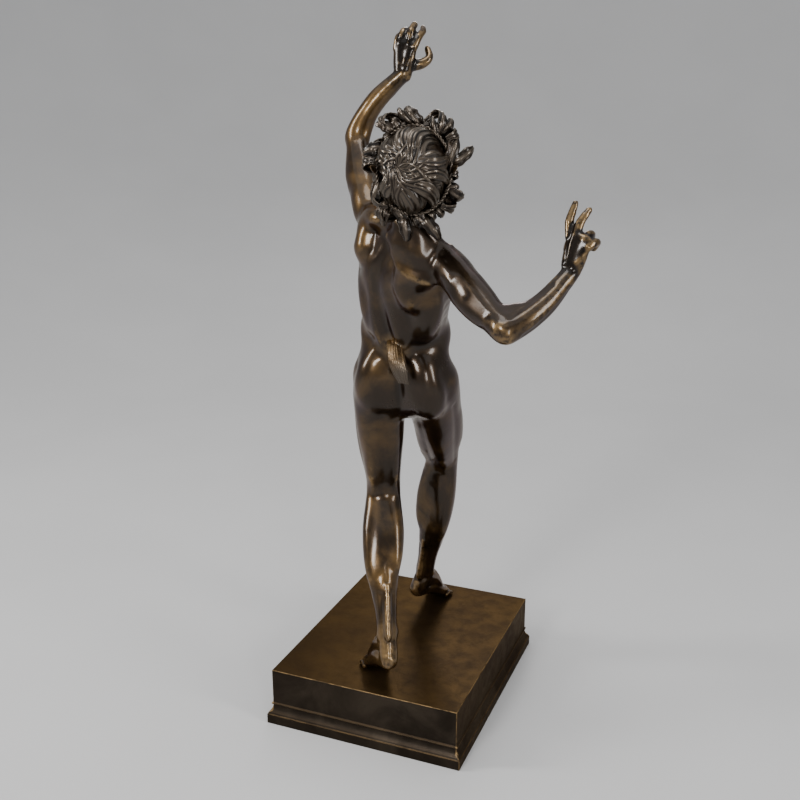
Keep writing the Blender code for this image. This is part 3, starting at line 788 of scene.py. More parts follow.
def add_skull(shape):
    """Skull, face and jaw as broad masses."""
    face = -HEAD.back
    add_muscle(shape, HEAD.at(0, 35, 8), HEAD.at(0, -34, 8), HEAD.up, 30, 34)
    add_muscle(shape, HEAD.at(0, -21, 27), HEAD.at(0, -23, -43), face, 23, 17)
    add_muscle(shape, HEAD.at(0, -8, -14), HEAD.at(0, -28, -43), face, 20, 15)
    add_muscle(shape, HEAD.at(-19, -30, 14), HEAD.at(19, -30, 14), face, 6, 6)
    for side in (1, -1):
        add_ball(shape, HEAD.at(side * 15, -27, -5), 9)
        add_muscle(shape, HEAD.at(side * 17, -4, -12), HEAD.at(side * 12, -24, -36), HEAD.left * side, 8, 7)


def face_hollows():
    """Sockets, temples and the hollows beside the nose and mouth."""
    strokes = []
    for side in (1, -1):
        strokes.append(([HEAD.at(side * 8, -38, 4), HEAD.at(side * 17, -35, 4)], 5.0, 3.4))
        strokes.append(([HEAD.at(side * 25, -16, 12), HEAD.at(side * 24, -14, 2)], 6.0, 1.2))
        strokes.append(([HEAD.at(side * 6, -40, -11), HEAD.at(side * 14, -34, -23)], 3.2, 1.0))
    strokes.append(([HEAD.at(-9, -36, -31), HEAD.at(9, -36, -31)], 3.5, 1.6))
    return strokes


def add_features(shape):
    """Nose, eyes with their lids, lips, chin and pointed ears."""
    face = -HEAD.back
    add_limb(shape, [
        (*HEAD.at(0, -34.5, 12), 3.4, 3.6),
        (*HEAD.at(0, -37.5, 3), 3.2, 4.2),
        (*HEAD.at(0, -41.5, -6), 3.8, 4.6),
        (*HEAD.at(0, -42.5, -11), 4.4, 4.2),
    ], HEAD.left)
    add_limb(shape, [
        (*HEAD.at(-9.5, -36.0, -21.5), 0.9, 0.9),
        (*HEAD.at(-4, -39.3, -20.3), 2.0, 2.2),
        (*HEAD.at(0, -40.0, -20.9), 1.8, 2.2),
        (*HEAD.at(4, -39.3, -20.3), 2.0, 2.2),
        (*HEAD.at(9.5, -36.0, -21.5), 0.9, 0.9),
    ], HEAD.up)
    add_limb(shape, [
        (*HEAD.at(-8.5, -36.0, -23.0), 0.9, 0.9),
        (*HEAD.at(-4, -38.7, -25.4), 2.1, 2.4),
        (*HEAD.at(4, -38.7, -25.4), 2.1, 2.4),
        (*HEAD.at(8.5, -36.0, -23.0), 0.9, 0.9),
    ], HEAD.up)
    add_muscle(shape, HEAD.at(-7, -32, -36), HEAD.at(7, -32, -36), face, 7.5, 7.5)
    for side in (1, -1):
        add_ball(shape, HEAD.at(side * 4.8, -38.0, -11.5), 3.2)
        eye = HEAD.at(side * 12.5, -28.6, 3.5)
        add_ball(shape, eye, 6.3)
        for height, bulge in ((3.6, 5.6), (-3.6, 5.4)):
            lid = []
            for step in range(5):
                turn = math.radians(-66 + 33 * step)
                lift = height * math.cos(turn * 1.3)
                lid.append((*(eye + HEAD.left * side * 7.0 * math.sin(turn) + face * bulge * math.cos(turn)
                              + HEAD.up * lift), 1.1, 1.3))
            add_limb(shape, lid, HEAD.up)
        add_limb(shape, [
            (*HEAD.at(side * 5, -35.0, 11.5), 2.0, 2.0),
            (*HEAD.at(side * 13, -34.2, 14.2), 2.2, 2.4),
            (*HEAD.at(side * 20, -29.0, 12.0), 1.8, 1.8),
        ], HEAD.up)
        add_limb(shape, [
            (*HEAD.at(side * 29, -1, -9), 2.6, 1.8),
            (*HEAD.at(side * 32, 3, 0), 5.4, 2.2),
            (*HEAD.at(side * 35, 8, 10), 5.0, 2.2),
            (*HEAD.at(side * 38, 13, 19), 2.6, 1.6),
            (*HEAD.at(side * 39, 16, 25), 0.9, 0.9),
        ], HEAD.back)


TAIL_CURVE = places((-22, 86, 392), (-27, 104, 390), (-33, 114, 377), (-40, 115, 358))
TAIL_RADII = (6.4, 7.2, 7.6, 4.8)


def add_tail(shape):
    stations = [(*point, radius, radius * 0.85) for point, radius in zip(TAIL_CURVE, TAIL_RADII)]
    add_limb(shape, stations, X)


# Carving. A stroke is a path, its reach and its depth, which is below zero where it raises the skin


def back_strokes():
    """Spine, shoulder blades, loins, the seat's fold, dimples and ribs."""
    spine = PELVIS.path((-1, 44, 36)) + CHEST.path((0, 44, -20), (0, 44, 8), (0, 42, 44))
    fold = PELVIS.path((-3, 44, 14), (-4, 46, -6), (-4, 38, -30), (-3, 20, -50))
    strokes = [
        (spine, 8.0, 4.4),
        (CHEST.path((-15, 42, 36), (-20, 42, 14), (-26, 42, 0)), 8.0, 1.8),
        (CHEST.path((-20, 42, 40), (-48, 34, 36), (-68, 26, 32)), 6.0, -3.2),
        (CHEST.path((-24, 42, 22), (-46, 34, 16)), 8.0, 1.8),
        (CHEST.path((15, 42, 36), (24, 40, 10), (40, 28, -8)), 6.0, 1.8),
        (CHEST.path((-10, 40, 74), (-14, 42, 52), (-16, 42, 38)), 6.0, 1.4),
        (fold, 6.5, 4.6),
        (PELVIS.path((6, 34, -48), (20, 40, -54), (36, 30, -52)), 8.0, 1.0),
        (PELVIS.path((-12, 34, -46), (-28, 38, -50), (-44, 26, -44)), 8.0, 0.7),
    ]
    for side in (1, -1):
        strokes += [
            (PELVIS.path((side * 19, 44, 32), (side * 21, 44, 30)), 6.0, 2.0),
            (PELVIS.path((side * 24, 40, 40), (side * 44, 18, 42)), 6.5, 2.0),
            (PELVIS.path((side * 46, 22, 6), (side * 50, 14, -18)), 9.0, 2.6),
        ]
        for rib in (2, -9, -20, -31):
            strokes.append((CHEST.path((side * 53, -2, rib - 5), (side * 46, -22, rib - 9)), 3.6, 0.6))
    return strokes


def front_strokes():
    """Breastbone, belly, the chest's lower edge, collar bones, flanks and groins."""
    strokes = [
        (CHEST.path((0, -44, 36), (0, -46, 4)), 3.2, 1.6),
        (CHEST.path((0, -46, -10)) + PELVIS.path((0, -40, 60), (0, -40, 44)), 3.2, 1.3),
        (PELVIS.path((0, -40, 40), (0, -40, 38)), 2.6, 2.8),
    ]
    for side in (1, -1):
        flank = CHEST.path((side * 22, -44, -8)) + PELVIS.path((side * 24, -36, 60), (side * 22, -36, 30))
        groin = PELVIS.path((side * 44, -16, 26), (side * 28, -34, 4), (side * 9, -36, -18))
        strokes += [
            (CHEST.path((side * 4, -48, 2), (side * 26, -46, -2), (side * 46, -30, 10)), 3.4, 1.7),
            (CHEST.path((side * 10, -44, 48), (side * 36, -30, 54), (side * 58, -10, 56)), 2.8, -1.6),
            (CHEST.path((side * 26, -46, 14), (side * 27, -46, 14)), 2.6, -1.0),
            (flank, 3.2, 1.1),
            (groin, 3.6, 2.0),
        ]
        for height in (48, 66, 82):
            strokes.append((PELVIS.path((side * 3, -40, height), (side * 20, -38, height + 2)), 2.6, 0.9))
    return strokes


def leg_strokes(hip, knee, ankle, front, outward):
    """Furrows between the thigh's muscles, the knee cap and the back of the knee, calf, shin and tendon."""
    thigh = Bone(hip, knee, front, outward)
    shank = Bone(knee, ankle, front, outward)
    return [
        (thigh.path((0.15, 26, -2), (0.9, 20, -2)), 4.0, 1.2),
        (thigh.path((0.2, 0, -32), (0.85, 0, -26)), 4.0, 1.0),
        (thigh.path((0.35, -8, 30), (0.85, -12, 26)), 4.0, 1.2),
        (thigh.path((0.30, 12, 28), (0.82, 14, 24)), 4.0, 0.9),
        (thigh.path((0.93, -13, 18), (0.93, 0, 24), (0.93, 13, 18)), 3.0, 1.2),
        (shank.path((0.09, -10, 18), (0.10, 0, 22), (0.09, 10, 18)), 3.0, 1.2),
        ([thigh.at(0.80, 14, -20), shank.at(0.05, 15, -22)], 4.0, -1.3),
        ([thigh.at(0.80, -14, -20), shank.at(0.05, -15, -22)], 4.0, -1.3),
        (shank.path((0.16, 1, -30), (0.46, 1, -32)), 6.0, 0.9),
        (shank.path((0.62, -15, -22), (0.56, -8, -28)), 4.0, 0.8),
        (shank.path((0.66, 18, -20), (0.60, 9, -27)), 4.0, 0.8),
        (shank.path((0.66, 0, -20), (1.12, 0, -16)), 2.4, -1.6),
        (shank.path((0.2, -3, 20), (0.9, -3, 14)), 2.4, -1.0),
        (shank.path((0.2, 6, 18), (0.8, 5, 13)), 3.0, 0.9),
        (shank.path((0.72, 7, -14), (1.0, 8, -12)), 3.2, 1.8),
        (shank.path((0.72, -7, -14), (1.0, -8, -12)), 3.2, 1.8),
    ]


def foot_strokes(ankle, heel, ball, outward):
    """Tendons on the instep, creases of the toes and their nails."""
    forward, side = foot_axes(heel, ball, outward)
    strokes = [([heel - forward * 9 + Z * 16, heel - forward * 10 + Z * 8], 3.0, -0.8)]
    for number in range(5):
        root = ball + side * (number * 7.4 - 14.5)
        above = root + Z * 16
        strokes.append(([above.lerp(ankle, 0.55) + Z * 6, above], 1.8, -0.9))
        nail = root + forward * (26 - TOE_STEP * max(number - 1, 0)) + Z * (2 if number else 4)
        width = 1.6 if number else 2.6
        strokes.append(([nail - side * width, nail + side * width], 1.3, -0.45))
        strokes.append(([nail - side * width - forward * 3, nail + side * width - forward * 3], 0.9, 0.7))
    return strokes


def arm_strokes(shoulder, elbow, wrist, front):
    """Edges of the shoulder's muscle, furrows along both arm bones, creases of the elbow and the wrist."""
    outward = (elbow - shoulder).cross(front).normalized()
    upper = Bone(shoulder, elbow, front, outward)
    lower = Bone(elbow, wrist, front, outward)
    return [
        (upper.path((0.1, 16, 14), (0.42, 20, 8), (0.55, 16, 0)), 5.0, 1.2),
        (upper.path((0.1, 16, -14), (0.42, 18, -8), (0.55, 16, 0)), 5.0, 1.2),
        (upper.path((0.35, 17, 2), (0.85, 13, 2)), 4.5, 1.0),
        (upper.path((0.30, -17, 2), (0.85, -13, 2)), 4.5, 1.0),
        (upper.path((0.45, 3, -18), (0.85, 2, -15)), 4.5, 1.0),
        (lower.path((0.10, 8, -14), (0.85, 5, -10)), 3.0, 1.1),
        (lower.path((0.12, 11, 10), (0.7, 9, 8)), 3.0, 1.0),
        (lower.path((0.02, -9, 12), (0.02, 9, 12)), 3.0, 0.9),
        (lower.path((0.97, -8, 6), (0.98, 8, 6)), 1.6, 0.8),
        (lower.path((0.7, 2, 9), (0.98, 1, 8)), 1.6, -0.8),
    ]


def hand_strokes(wrist, knuckles, finger_joints):
    """Tendons on the back of the hand and the creases of the finger joints."""
    strokes = []
    for knuckle, joints in zip(knuckles, finger_joints):
        strokes.append(([wrist.lerp(knuckle, 0.35), knuckle], 1.5, -0.7))
        for joint in joints[1:3]:
            strokes.append(([joint, joint + Z * 0.5], 1.7, -0.5))
    return strokes


def read_points(mesh):
    points = np.empty(len(mesh.vertices) * 3, np.float64)
    mesh.vertices.foreach_get("co", points)
    return points.reshape(-1, 3)


def read_normals(mesh):
    normals = np.empty(len(mesh.vertices) * 3, np.float64)
    mesh.vertex_normals.foreach_get("vector", normals)
    return normals.reshape(-1, 3)


def write_points(mesh, points):
    mesh.vertices.foreach_set("co", points.ravel())
    mesh.update()


def gap_to_segment(points, start, end):
    """Distance of each point from a straight piece of a path."""
    along = end - start
    share = np.clip((points - start) @ along / max(along @ along, 1e-9), 0, 1)
    return np.linalg.norm(points - start - share[:, None] * along, axis=1)


def carve(mesh, strokes):
    """Press each stroke into the skin nearest to its path, fading out over its reach."""
    points = read_points(mesh)
    normals = relaxed(read_normals(mesh), mesh, EVEN_ROUNDS)
    normals /= np.linalg.norm(normals, axis=1)[:, None] + 1e-9
    for path, reach, depth in strokes:
        margin = 4 * reach + 12
        low = np.min(path, axis=0) - margin
        high = np.max(path, axis=0) + margin
        near = np.flatnonzero(np.all((points > low) & (points < high), axis=1))
        if not len(near):
            continue
        region = points[near]
        course = []
        for start, end in zip(path, path[1:]):
            steps = max(2, int((end - start).length / reach))
            course += [start.lerp(end, step / steps) for step in range(steps)]
        course.append(path[-1])
        on_skin = []
        for place in course:
            apart = ((region - np.array(place)) ** 2).sum(axis=1)
            on_skin.append(region[np.argmin(apart)])
        on_skin = np.array(on_skin)
        for _ in range(PATH_ROUNDS):
            on_skin[1:-1] = (on_skin[:-2] + 2 * on_skin[1:-1] + on_skin[2:]) / 4
        gap = np.full(len(near), np.inf)
        for start, end in zip(on_skin, on_skin[1:]):
            gap = np.minimum(gap, gap_to_segment(region, start, end))
        press = depth * CARVING * np.exp(-(gap / reach) ** 2)
        points[near] -= normals[near] * press[:, None]
    write_points(mesh, points)


def relaxed(points, mesh, rounds, back=0.0):
    """Soften values over the skin. With back, every second round swells, so thin limbs keep their girth."""
    edges = np.empty(len(mesh.edges) * 2, np.int32)
    mesh.edges.foreach_get("vertices", edges)
    first, second = edges.reshape(-1, 2).T
    size = len(points)
    count = np.bincount(first, minlength=size) + np.bincount(second, minlength=size)
    steps = (0.5, -back) if back else (0.5,)
    for number in range(rounds):
        mean = np.empty_like(points)
        for axis in range(3):
            mean[:, axis] = (np.bincount(first, points[second, axis], size)
                             + np.bincount(second, points[first, axis], size))
        points = points + steps[number % len(steps)] * (mean / np.maximum(count, 1)[:, None] - points)
    return points


def evaluated(mesh, *modifiers):
    """The mesh after some modifiers, each given by its kind and settings."""
    item = bpy.data.objects.new("forms", mesh)
    bpy.context.scene.collection.objects.link(item)
    for kind, settings in modifiers:
        modifier = item.modifiers.new(kind, kind)
        for name, value in settings.items():
            setattr(modifier, name, value)
    return baked(item)


def baked(item):
    """The evaluated mesh of an object, which is then removed."""
    graph = bpy.context.evaluated_depsgraph_get()
    result = bpy.data.meshes.new_from_object(item.evaluated_get(graph))
    bpy.data.objects.remove(item, do_unlink=True)
    return result


def fuse(shape, cell, smoothing):
    """Fuse the overlapping forms of a shape into one skin and smooth it."""
    bmesh.ops.recalc_face_normals(shape, faces=shape.faces)
    mesh = bpy.data.meshes.new("forms")
    shape.to_mesh(mesh)
    shape.free()
    return evaluated(
        mesh,
        ("REMESH", {"mode": "VOXEL", "voxel_size": cell}),
        ("SMOOTH", {"factor": 0.5, "iterations": smoothing}))


def thinned(mesh, triangles):
    """A copy with fewer triangles that keeps the smooth normals and the relief of the fine skin."""
    points = read_points(mesh)
    normals = read_normals(mesh)
    softened = relaxed(points, mesh, RELIEF_ROUNDS)
    depth = ((softened - points) * normals).sum(axis=1)
    values = {"hollow": np.clip(depth / HOLLOW_DEPTH, 0, 1), "crest": np.clip(-depth / CREST_HEIGHT, 0, 1)}
    mesh.calc_loop_triangles()
    result = evaluated(mesh, ("DECIMATE", {"ratio": min(1.0, triangles / len(mesh.loop_triangles))}))
    tree = KDTree(len(points))
    for number, point in enumerate(points):
        tree.insert(point, number)
    tree.balance()
    nearest = []
    closeness = []
    for vertex in result.vertices:
        found = tree.find_n(vertex.co, NEIGHBOURS)
        nearest.append([match[1] for match in found])
        closeness.append([1 / (match[2] + SOFTNESS) ** 2 for match in found])
    nearest = np.array(nearest)
    closeness = np.array(closeness)
    closeness /= closeness.sum(axis=1)[:, None]
    for name, value in values.items():
        layer = result.attributes.new(name, "FLOAT", "POINT")
        layer.data.foreach_set("value", (value[nearest] * closeness).sum(axis=1).astype(np.float32))
    smooth = (normals[nearest] * closeness[:, :, None]).sum(axis=1)
    smooth /= np.linalg.norm(smooth, axis=1)[:, None]
    return result, smooth


def trunk_mesh():
    """Trunk, legs and arms in one skin, softened most round the trunk's axis and the joints."""
    body = bmesh.new()
    add_trunk(body)
    add_back(body)
    add_front(body)
    for leg in LEGS:
        add_leg(body, *leg)
    for arm, elbow_point in zip(ARMS, ELBOW_POINTS):
        add_arm(body, *arm, elbow_point)
    trunk = fuse(body, *TRUNK_FUSE)
    points = relaxed(read_points(trunk), trunk, *TRUNK_SOFTENING)
    away = gap_to_segment(points, np.array(PELVIS.at(0, 0, -10)), np.array(CHEST.at(0, 0, 30)))
    calm = np.clip((TRUNK_CALM[0] - away) / TRUNK_CALM[1], 0, 1)
    for joint in (LEFT_SHOULDER, RIGHT_SHOULDER, LEFT_ELBOW, LEFT_KNEE, RIGHT_KNEE, PELVIS.at(0, 20, -50)):
        away = np.linalg.norm(points - np.array(joint), axis=1)
        calm = np.maximum(calm, np.clip((JOINT_CALM[0] - away) / JOINT_CALM[1], 0, 1))
    points = relaxed(points, trunk, PLAIN_ROUNDS)
    points += (relaxed(points, trunk, CALM_ROUNDS) - points) * calm[:, None]
    write_points(trunk, points)
    return trunk


def head_mesh():
    skull = bmesh.new()
    add_skull(skull)
    head = fuse(skull, *SKULL_FUSE)
    carve(head, face_hollows())
    return head


def all_strokes():
    strokes = back_strokes() + front_strokes()
    for leg in LEGS:
        strokes += leg_strokes(*leg)
    for arm in ARMS:
        strokes += arm_strokes(*arm)
    for foot in FEET:
        strokes += foot_strokes(*foot)
    for wrist, knuckles, finger_joints, _ in HANDS:
        strokes += hand_strokes(wrist, knuckles, finger_joints)
    return strokes


def figure_mesh(settings):
    """Body, head, hands, feet and tail as one skin, carved and thinned."""
    figure = bmesh.new()
    figure.from_mesh(trunk_mesh())
    figure.from_mesh(head_mesh())
    add_features(figure)
    for foot in FEET:
        add_foot(figure, *foot)
    for hand in HANDS:
        add_hand(figure, *hand)
    add_tail(figure)
    mesh = fuse(figure, settings.skin_cell * MODEL_HEIGHT / settings.height, SKIN_ROUNDS)
    carve(mesh, all_strokes())
    write_points(mesh, relaxed(read_points(mesh), mesh, *SKIN_SOFTENING))
    thin, normals = thinned(mesh, settings.triangles)
    points = read_points(thin)
    clearance = SOLE_CLEARANCE * MODEL_HEIGHT / settings.height
    under = points[:, 2] < clearance
    points[under, 2] = clearance
    normals[under] = (0, 0, -1)
    write_points(thin, points * (settings.height / MODEL_HEIGHT) + (0, 0, PLINTH_TOP))
    thin.shade_smooth()
    thin.normals_split_custom_set_from_vertices(normals)
    return thin


# Hair and wreath. They lie on an oval that faces up and back


CROWN = HEAD.towards(0, 0.64, 0.77)
RISE = HEAD.towards(0, -0.77, 0.64)
CAP_CENTRE = HEAD_CENTRE + CROWN * 4
CAP_WIDE = 31.0
CAP_HIGH = 38.0
CAP_DEEP = 35.0
WHORL = Vector((0.42, 0.06))
LOCK_STEPS = 7
FRINGE_LOCKS = 26
FRINGE_STEPS = 6
ROPE_STEPS = 300
ROPE_TWISTS = 26
LEAF_STEPS = 11
TAIL_STRANDS = 15
STRAND_CURVE = places((-23, 94, 393), (-27, 104, 390), (-33, 114, 377), (-37, 115.5, 366), (-41, 115, 354))
STRAND_RADII = (6.8, 7.8, 8.2, 7.6, 5.0)

# Angle round the ring, length, curl and half width of four leaves that stand out
SINGLE_LEAVES = ((2.25, 50, -5.6, 4.4), (3.0, 33, -2.4, 5.6), (4.45, 30, -1.4, 6.4), (5.0, 28, -1.6, 6.0))


def cap_place(across, rise, dome, lift):
    """A place over the cap and the way it faces, from shares of its width, height and depth."""
    facing = (HEAD.left * across / CAP_WIDE + RISE * rise / CAP_HIGH + CROWN * dome / CAP_DEEP).normalized()
    place = CAP_CENTRE + HEAD.left * across * CAP_WIDE + RISE * rise * CAP_HIGH + CROWN * dome * CAP_DEEP
    return place + facing * lift, facing


def on_cap(across, rise, lift):
    flat = min(math.hypot(across, rise), 0.999)
    return cap_place(across, rise, math.sqrt(1 - flat * flat), lift)


def round_cap(turn, polar, lift):
    """A place on the cap by its angle round the crown and its angle down from it."""
    flat = math.sin(polar)
    return cap_place(flat * math.cos(turn), flat * math.sin(turn), math.cos(polar), lift)


def ring_place(turn, wide, high):
    return CAP_CENTRE + HEAD.left * wide * math.cos(turn) + RISE * high * math.sin(turn)


def ring_radial(turn):
    return (HEAD.left * 0.85 * math.cos(turn) + RISE * math.sin(turn)).normalized()


def crown_locks(settings, random):
    """S-shaped locks that swirl from the whorl out to the wreath, in two layers."""
    girth = settings.girth / metres_per_unit()
    paths = []
    layers = ((settings.locks, 0.0, 0.4), (settings.locks * 2 // 3, 0.34, 2.6))
    for layer, (count, begin, lift) in enumerate(layers):
        for number in range(count):
            turn = 2 * math.pi * (number + 0.5 * layer + random.uniform(-0.2, 0.2)) / count
            rim = Vector((math.cos(turn), math.sin(turn))) * 0.97
            bend = random.uniform(0.16, 0.28) * (1 if number % 4 else -0.8)
            side = Vector((-rim.y, rim.x))
            path = []
            for step in range(LOCK_STEPS + 1):
                share = step / LOCK_STEPS
                reach = begin + (1 - begin) * share
                swing = bend * math.sin(2 * math.pi * reach ** 0.8) * reach ** 0.3
                flat = WHORL.lerp(rim, reach) + side * swing
                rise = lift + 2.4 * math.sin(math.pi * share) + random.uniform(-0.3, 0.3)
                place, facing = on_cap(flat.x, flat.y, rise)
                width = girth * (0.30 + 0.75 * math.sin(math.pi * min(share * 0.9 + 0.08, 1)))
                path.append((place, facing, width))
            paths.append(path)
    return paths


def fringe_locks(settings, random):
    """Locks that come out from under the wreath, over the nape, the temples and the brow."""
    girth = settings.girth / metres_per_unit()
    paths = []
    for number in range(FRINGE_LOCKS):
        turn = 2 * math.pi * (number + random.uniform(-0.2, 0.2)) / FRINGE_LOCKS
        down = 1.0 - max(math.sin(turn), 0.0) * 0.55
        sway = 0.28 if number % 2 else -0.22
        path = []
        for step in range(FRINGE_STEPS + 1):
            share = step / FRINGE_STEPS
            polar = math.radians(80 + 34 * share * down)
            lift = 1.0 + 4.5 * math.sin(2.6 * share)
            place, facing = round_cap(turn + sway * math.sin(2.4 * share), polar, lift)
            path.append((place, facing, girth * 0.75 * (1 - 0.82 * share ** 2)))
        paths.append(path)
    return paths


def rope_strands():
    """Two strands that twist round each other along the ring of the wreath."""
    strands = []
    for phase in (0.0, math.pi):
        strand = []
        for step in range(ROPE_STEPS):
            turn = 2 * math.pi * step / ROPE_STEPS
            radial = ring_radial(turn)
            middle = ring_place(turn, 34.0, 39.5) + CROWN * 11
            twist = ROPE_TWISTS * turn + 1.5 * math.sin(5 * turn) + phase
            offset = 0.95 + 0.2 * math.sin(7 * turn + phase)
            place = middle + radial * offset * math.cos(twist) + CROWN * offset * math.sin(twist)
            strand.append((place, radial, 1.3 + 0.15 * math.sin(9 * turn)))
        strands.append(strand)
    return strands


def curled_path(root, outward, towards, around, length, begin, curl, sway, width):
    """A leaf that starts outward at one angle and rolls over by the angle of its curl."""
    path = []
    place = root.copy()
    for step in range(LEAF_STEPS + 1):
        share = step / LEAF_STEPS
        turn = begin + curl * share ** 1.25
        ahead = outward * math.cos(turn) + towards * math.sin(turn)
        facing = towards * math.cos(turn) - outward * math.sin(turn)
        swell = math.sin(math.pi * (0.16 + 0.76 * share)) ** 0.65
        lobe = 1 + 0.1 * math.cos(2 * math.pi * 3 * share)
        path.append((place.copy(), facing, max(width * swell * lobe, 0.5)))
        place += (ahead + around * sway * math.sin(math.pi * share)) * (length / LEAF_STEPS)
    return path


def wreath_leaves(settings, random):
    """Leaves that arch out over the ring, with smaller ones between, a few rolled up and some curls."""
    leaves = []
    for number in range(settings.leaves * 2):
        turn = 2 * math.pi * (number / 2 + 0.25 + random.uniform(-0.15, 0.15)) / settings.leaves
        radial = ring_radial(turn)
        around = CROWN.cross(radial)
        root = ring_place(turn, 30, 38) + CROWN * random.uniform(-1, 7)
        outward = (radial + around * random.uniform(-0.3, 1.3)).normalized()
        towards = (CROWN + around * random.uniform(-0.7, 0.7)).normalized()
        sway = random.uniform(-0.4, 0.9)
        if number % 2:
            length = random.uniform(16, 22)
            width = random.uniform(4.0, 5.4)
        else:
            length = random.uniform(24, 30)
            width = random.uniform(5.6, 7.4)
        if number % 3:
            begin, curl = 1.0, random.uniform(-3.4, -2.0)
        else:
            begin, curl, length, width = -0.4, 4.0, length * 1.3, width * 0.8
        leaves.append(curled_path(root, outward, towards, around, length, begin, curl, sway, width))
    for turn, length, curl, width in SINGLE_LEAVES:
        radial = ring_radial(turn)
        around = CROWN.cross(radial)
        root = ring_place(turn, 32, 39) + CROWN * 5
        leaves.append(curled_path(root, radial, CROWN, around, length, 0.7, curl, 0.5, width))
    return leaves


def tail_locks(random):
    """Fine strands of the short tail, side by side down its outer face."""
    paths = []
    for number in range(TAIL_STRANDS):
        turn = math.radians(-105 + 15 * number)
        out = Vector((math.sin(turn), math.cos(turn) * 0.85, math.cos(turn) * 0.3))
        path = []
        for place, radius in zip(STRAND_CURVE, STRAND_RADII):
            sway = Vector((random.uniform(-0.5, 0.5), 0, 0))
            path.append((place + out * (radius - 0.5) + sway, out.normalized(), 0.17 * radius + 0.3))
        paths.append(path)
    return paths


def path_object(name, paths, closed=False):
    """A mesh of edges along the paths, with each point's facing and half width."""
    points = []
    facings = []
    widths = []
    edges = []
    unit = metres_per_unit()
    for path in paths:
        first = len(points)
        for place, facing, width in path:
            points.append(to_row(place))
            facings.append(facing)
            widths.append(width * unit)
        edges += [(first + step, first + step + 1) for step in range(len(path) - 1)]
        if closed:
            edges.append((first + len(path) - 1, first))
    mesh = bpy.data.meshes.new(name)
    mesh.from_pydata(points, edges, [])
    facing_layer = mesh.attributes.new("facing", "FLOAT_VECTOR", "POINT")
    facing_layer.data.foreach_set("vector", np.array(facings, np.float32).ravel())
    width_layer = mesh.attributes.new("girth", "FLOAT", "POINT")
    width_layer.data.foreach_set("value", np.array(widths, np.float32))
    item = bpy.data.objects.new(name, mesh)
    bpy.context.scene.collection.objects.link(item)
    return item


def sweep_tree():
    """Nodes that sweep a ridged oval along every path, as wide as the path's girth."""
    tree = bpy.data.node_groups.new("ridged_sweep", "GeometryNodeTree")
    face = tree.interface
    face.new_socket("Geometry", in_out="INPUT", socket_type="NodeSocketGeometry")
    for kind, names in (("Int", ("Sides", "Steps")),
                        ("Float", ("Flatness", "Ridges", "Ridge depth", "Hollow")),
                        ("Material", ("Material",))):
        for name in names:
            face.new_socket(name, in_out="INPUT", socket_type="NodeSocket" + kind)
    face.new_socket("Geometry", in_out="OUTPUT", socket_type="NodeSocketGeometry")
    given = tree.nodes.new("NodeGroupInput")
    result = tree.nodes.new("NodeGroupOutput")

    # The paths as smooth curves that face outward
    curve = wired(tree, "GeometryNodeMeshToCurve", {"Mesh": given.outputs["Geometry"]})
    spline = wired(tree, "GeometryNodeCurveSplineType", {"Curve": curve.outputs["Curve"]},
                   spline_type="CATMULL_ROM")
    finer = wired(tree, "GeometryNodeSetSplineResolution", {
        "Geometry": spline.outputs["Curve"], "Resolution": given.outputs["Steps"]})
    facing = wired(tree, "GeometryNodeInputNamedAttribute", {"Name": "facing"}, data_type="FLOAT_VECTOR")
    turned = wired(tree, "GeometryNodeSetCurveNormal", {
        "Curve": finer.outputs["Geometry"], "Normal": facing.outputs["Attribute"]}, mode="FREE")
    girth = wired(tree, "GeometryNodeInputNamedAttribute", {"Name": "girth"}, data_type="FLOAT")

    # The profile: a circle that is waved, flattened and cupped
    ring = wired(tree, "GeometryNodeCurvePrimitiveCircle", {
        "Resolution": given.outputs["Sides"], "Radius": 1.0})
    parts = split(tree, wired(tree, "GeometryNodeInputPosition", {}).outputs["Position"])
    angle = maths(tree, "ARCTAN2", parts["Y"], parts["X"])
    wave = maths(tree, "COSINE", maths(tree, "MULTIPLY", angle, given.outputs["Ridges"]))
    swell = maths(tree, "ADD", maths(tree, "MULTIPLY", wave, given.outputs["Ridge depth"]), 1.0)
    waved = maths(tree, "MULTIPLY", parts["X"], swell)
    thick = maths(tree, "MULTIPLY", waved, given.outputs["Flatness"])
    square = maths(tree, "MULTIPLY", parts["Y"], parts["Y"])
    cupped = maths(tree, "MULTIPLY", square, given.outputs["Hollow"])
    joined = wired(tree, "ShaderNodeCombineXYZ", {"X": maths(tree, "ADD", thick, cupped), "Y": parts["Y"]})
    profile = wired(tree, "GeometryNodeSetPosition", {
        "Geometry": ring.outputs["Curve"], "Position": joined.outputs["Vector"]})
    height = maths(tree, "ADD", maths(tree, "MULTIPLY", wave, 0.5), 0.5)
    ridge = wired(tree, "GeometryNodeStoreNamedAttribute", {
        "Name": "ridge", "Geometry": profile.outputs["Geometry"], "Value": height},
        data_type="FLOAT", domain="POINT")

    # The sweep, made real
    sweep = wired(tree, "GeometryNodeCurveToMesh", {
        "Curve": turned.outputs["Curve"], "Profile Curve": ridge.outputs["Geometry"],
        "Scale": girth.outputs["Attribute"], "Fill Caps": True})
    smooth = wired(tree, "GeometryNodeSetShadeSmooth", {"Geometry": sweep.outputs["Mesh"]})
    real = wired(tree, "GeometryNodeRealizeInstances", {"Geometry": smooth.outputs["Geometry"]})
    finish = wired(tree, "GeometryNodeSetMaterial", {
        "Geometry": real.outputs["Geometry"], "Material": given.outputs["Material"]})
    tree.links.new(finish.outputs["Geometry"], result.inputs["Geometry"])
    return tree


def profile_sizes(sides, steps, flatness, ridges=0.0, ridge_depth=0.0, hollow=0.0):
    return {"Sides": sides, "Steps": steps, "Flatness": flatness,
            "Ridges": ridges, "Ridge depth": ridge_depth, "Hollow": hollow}


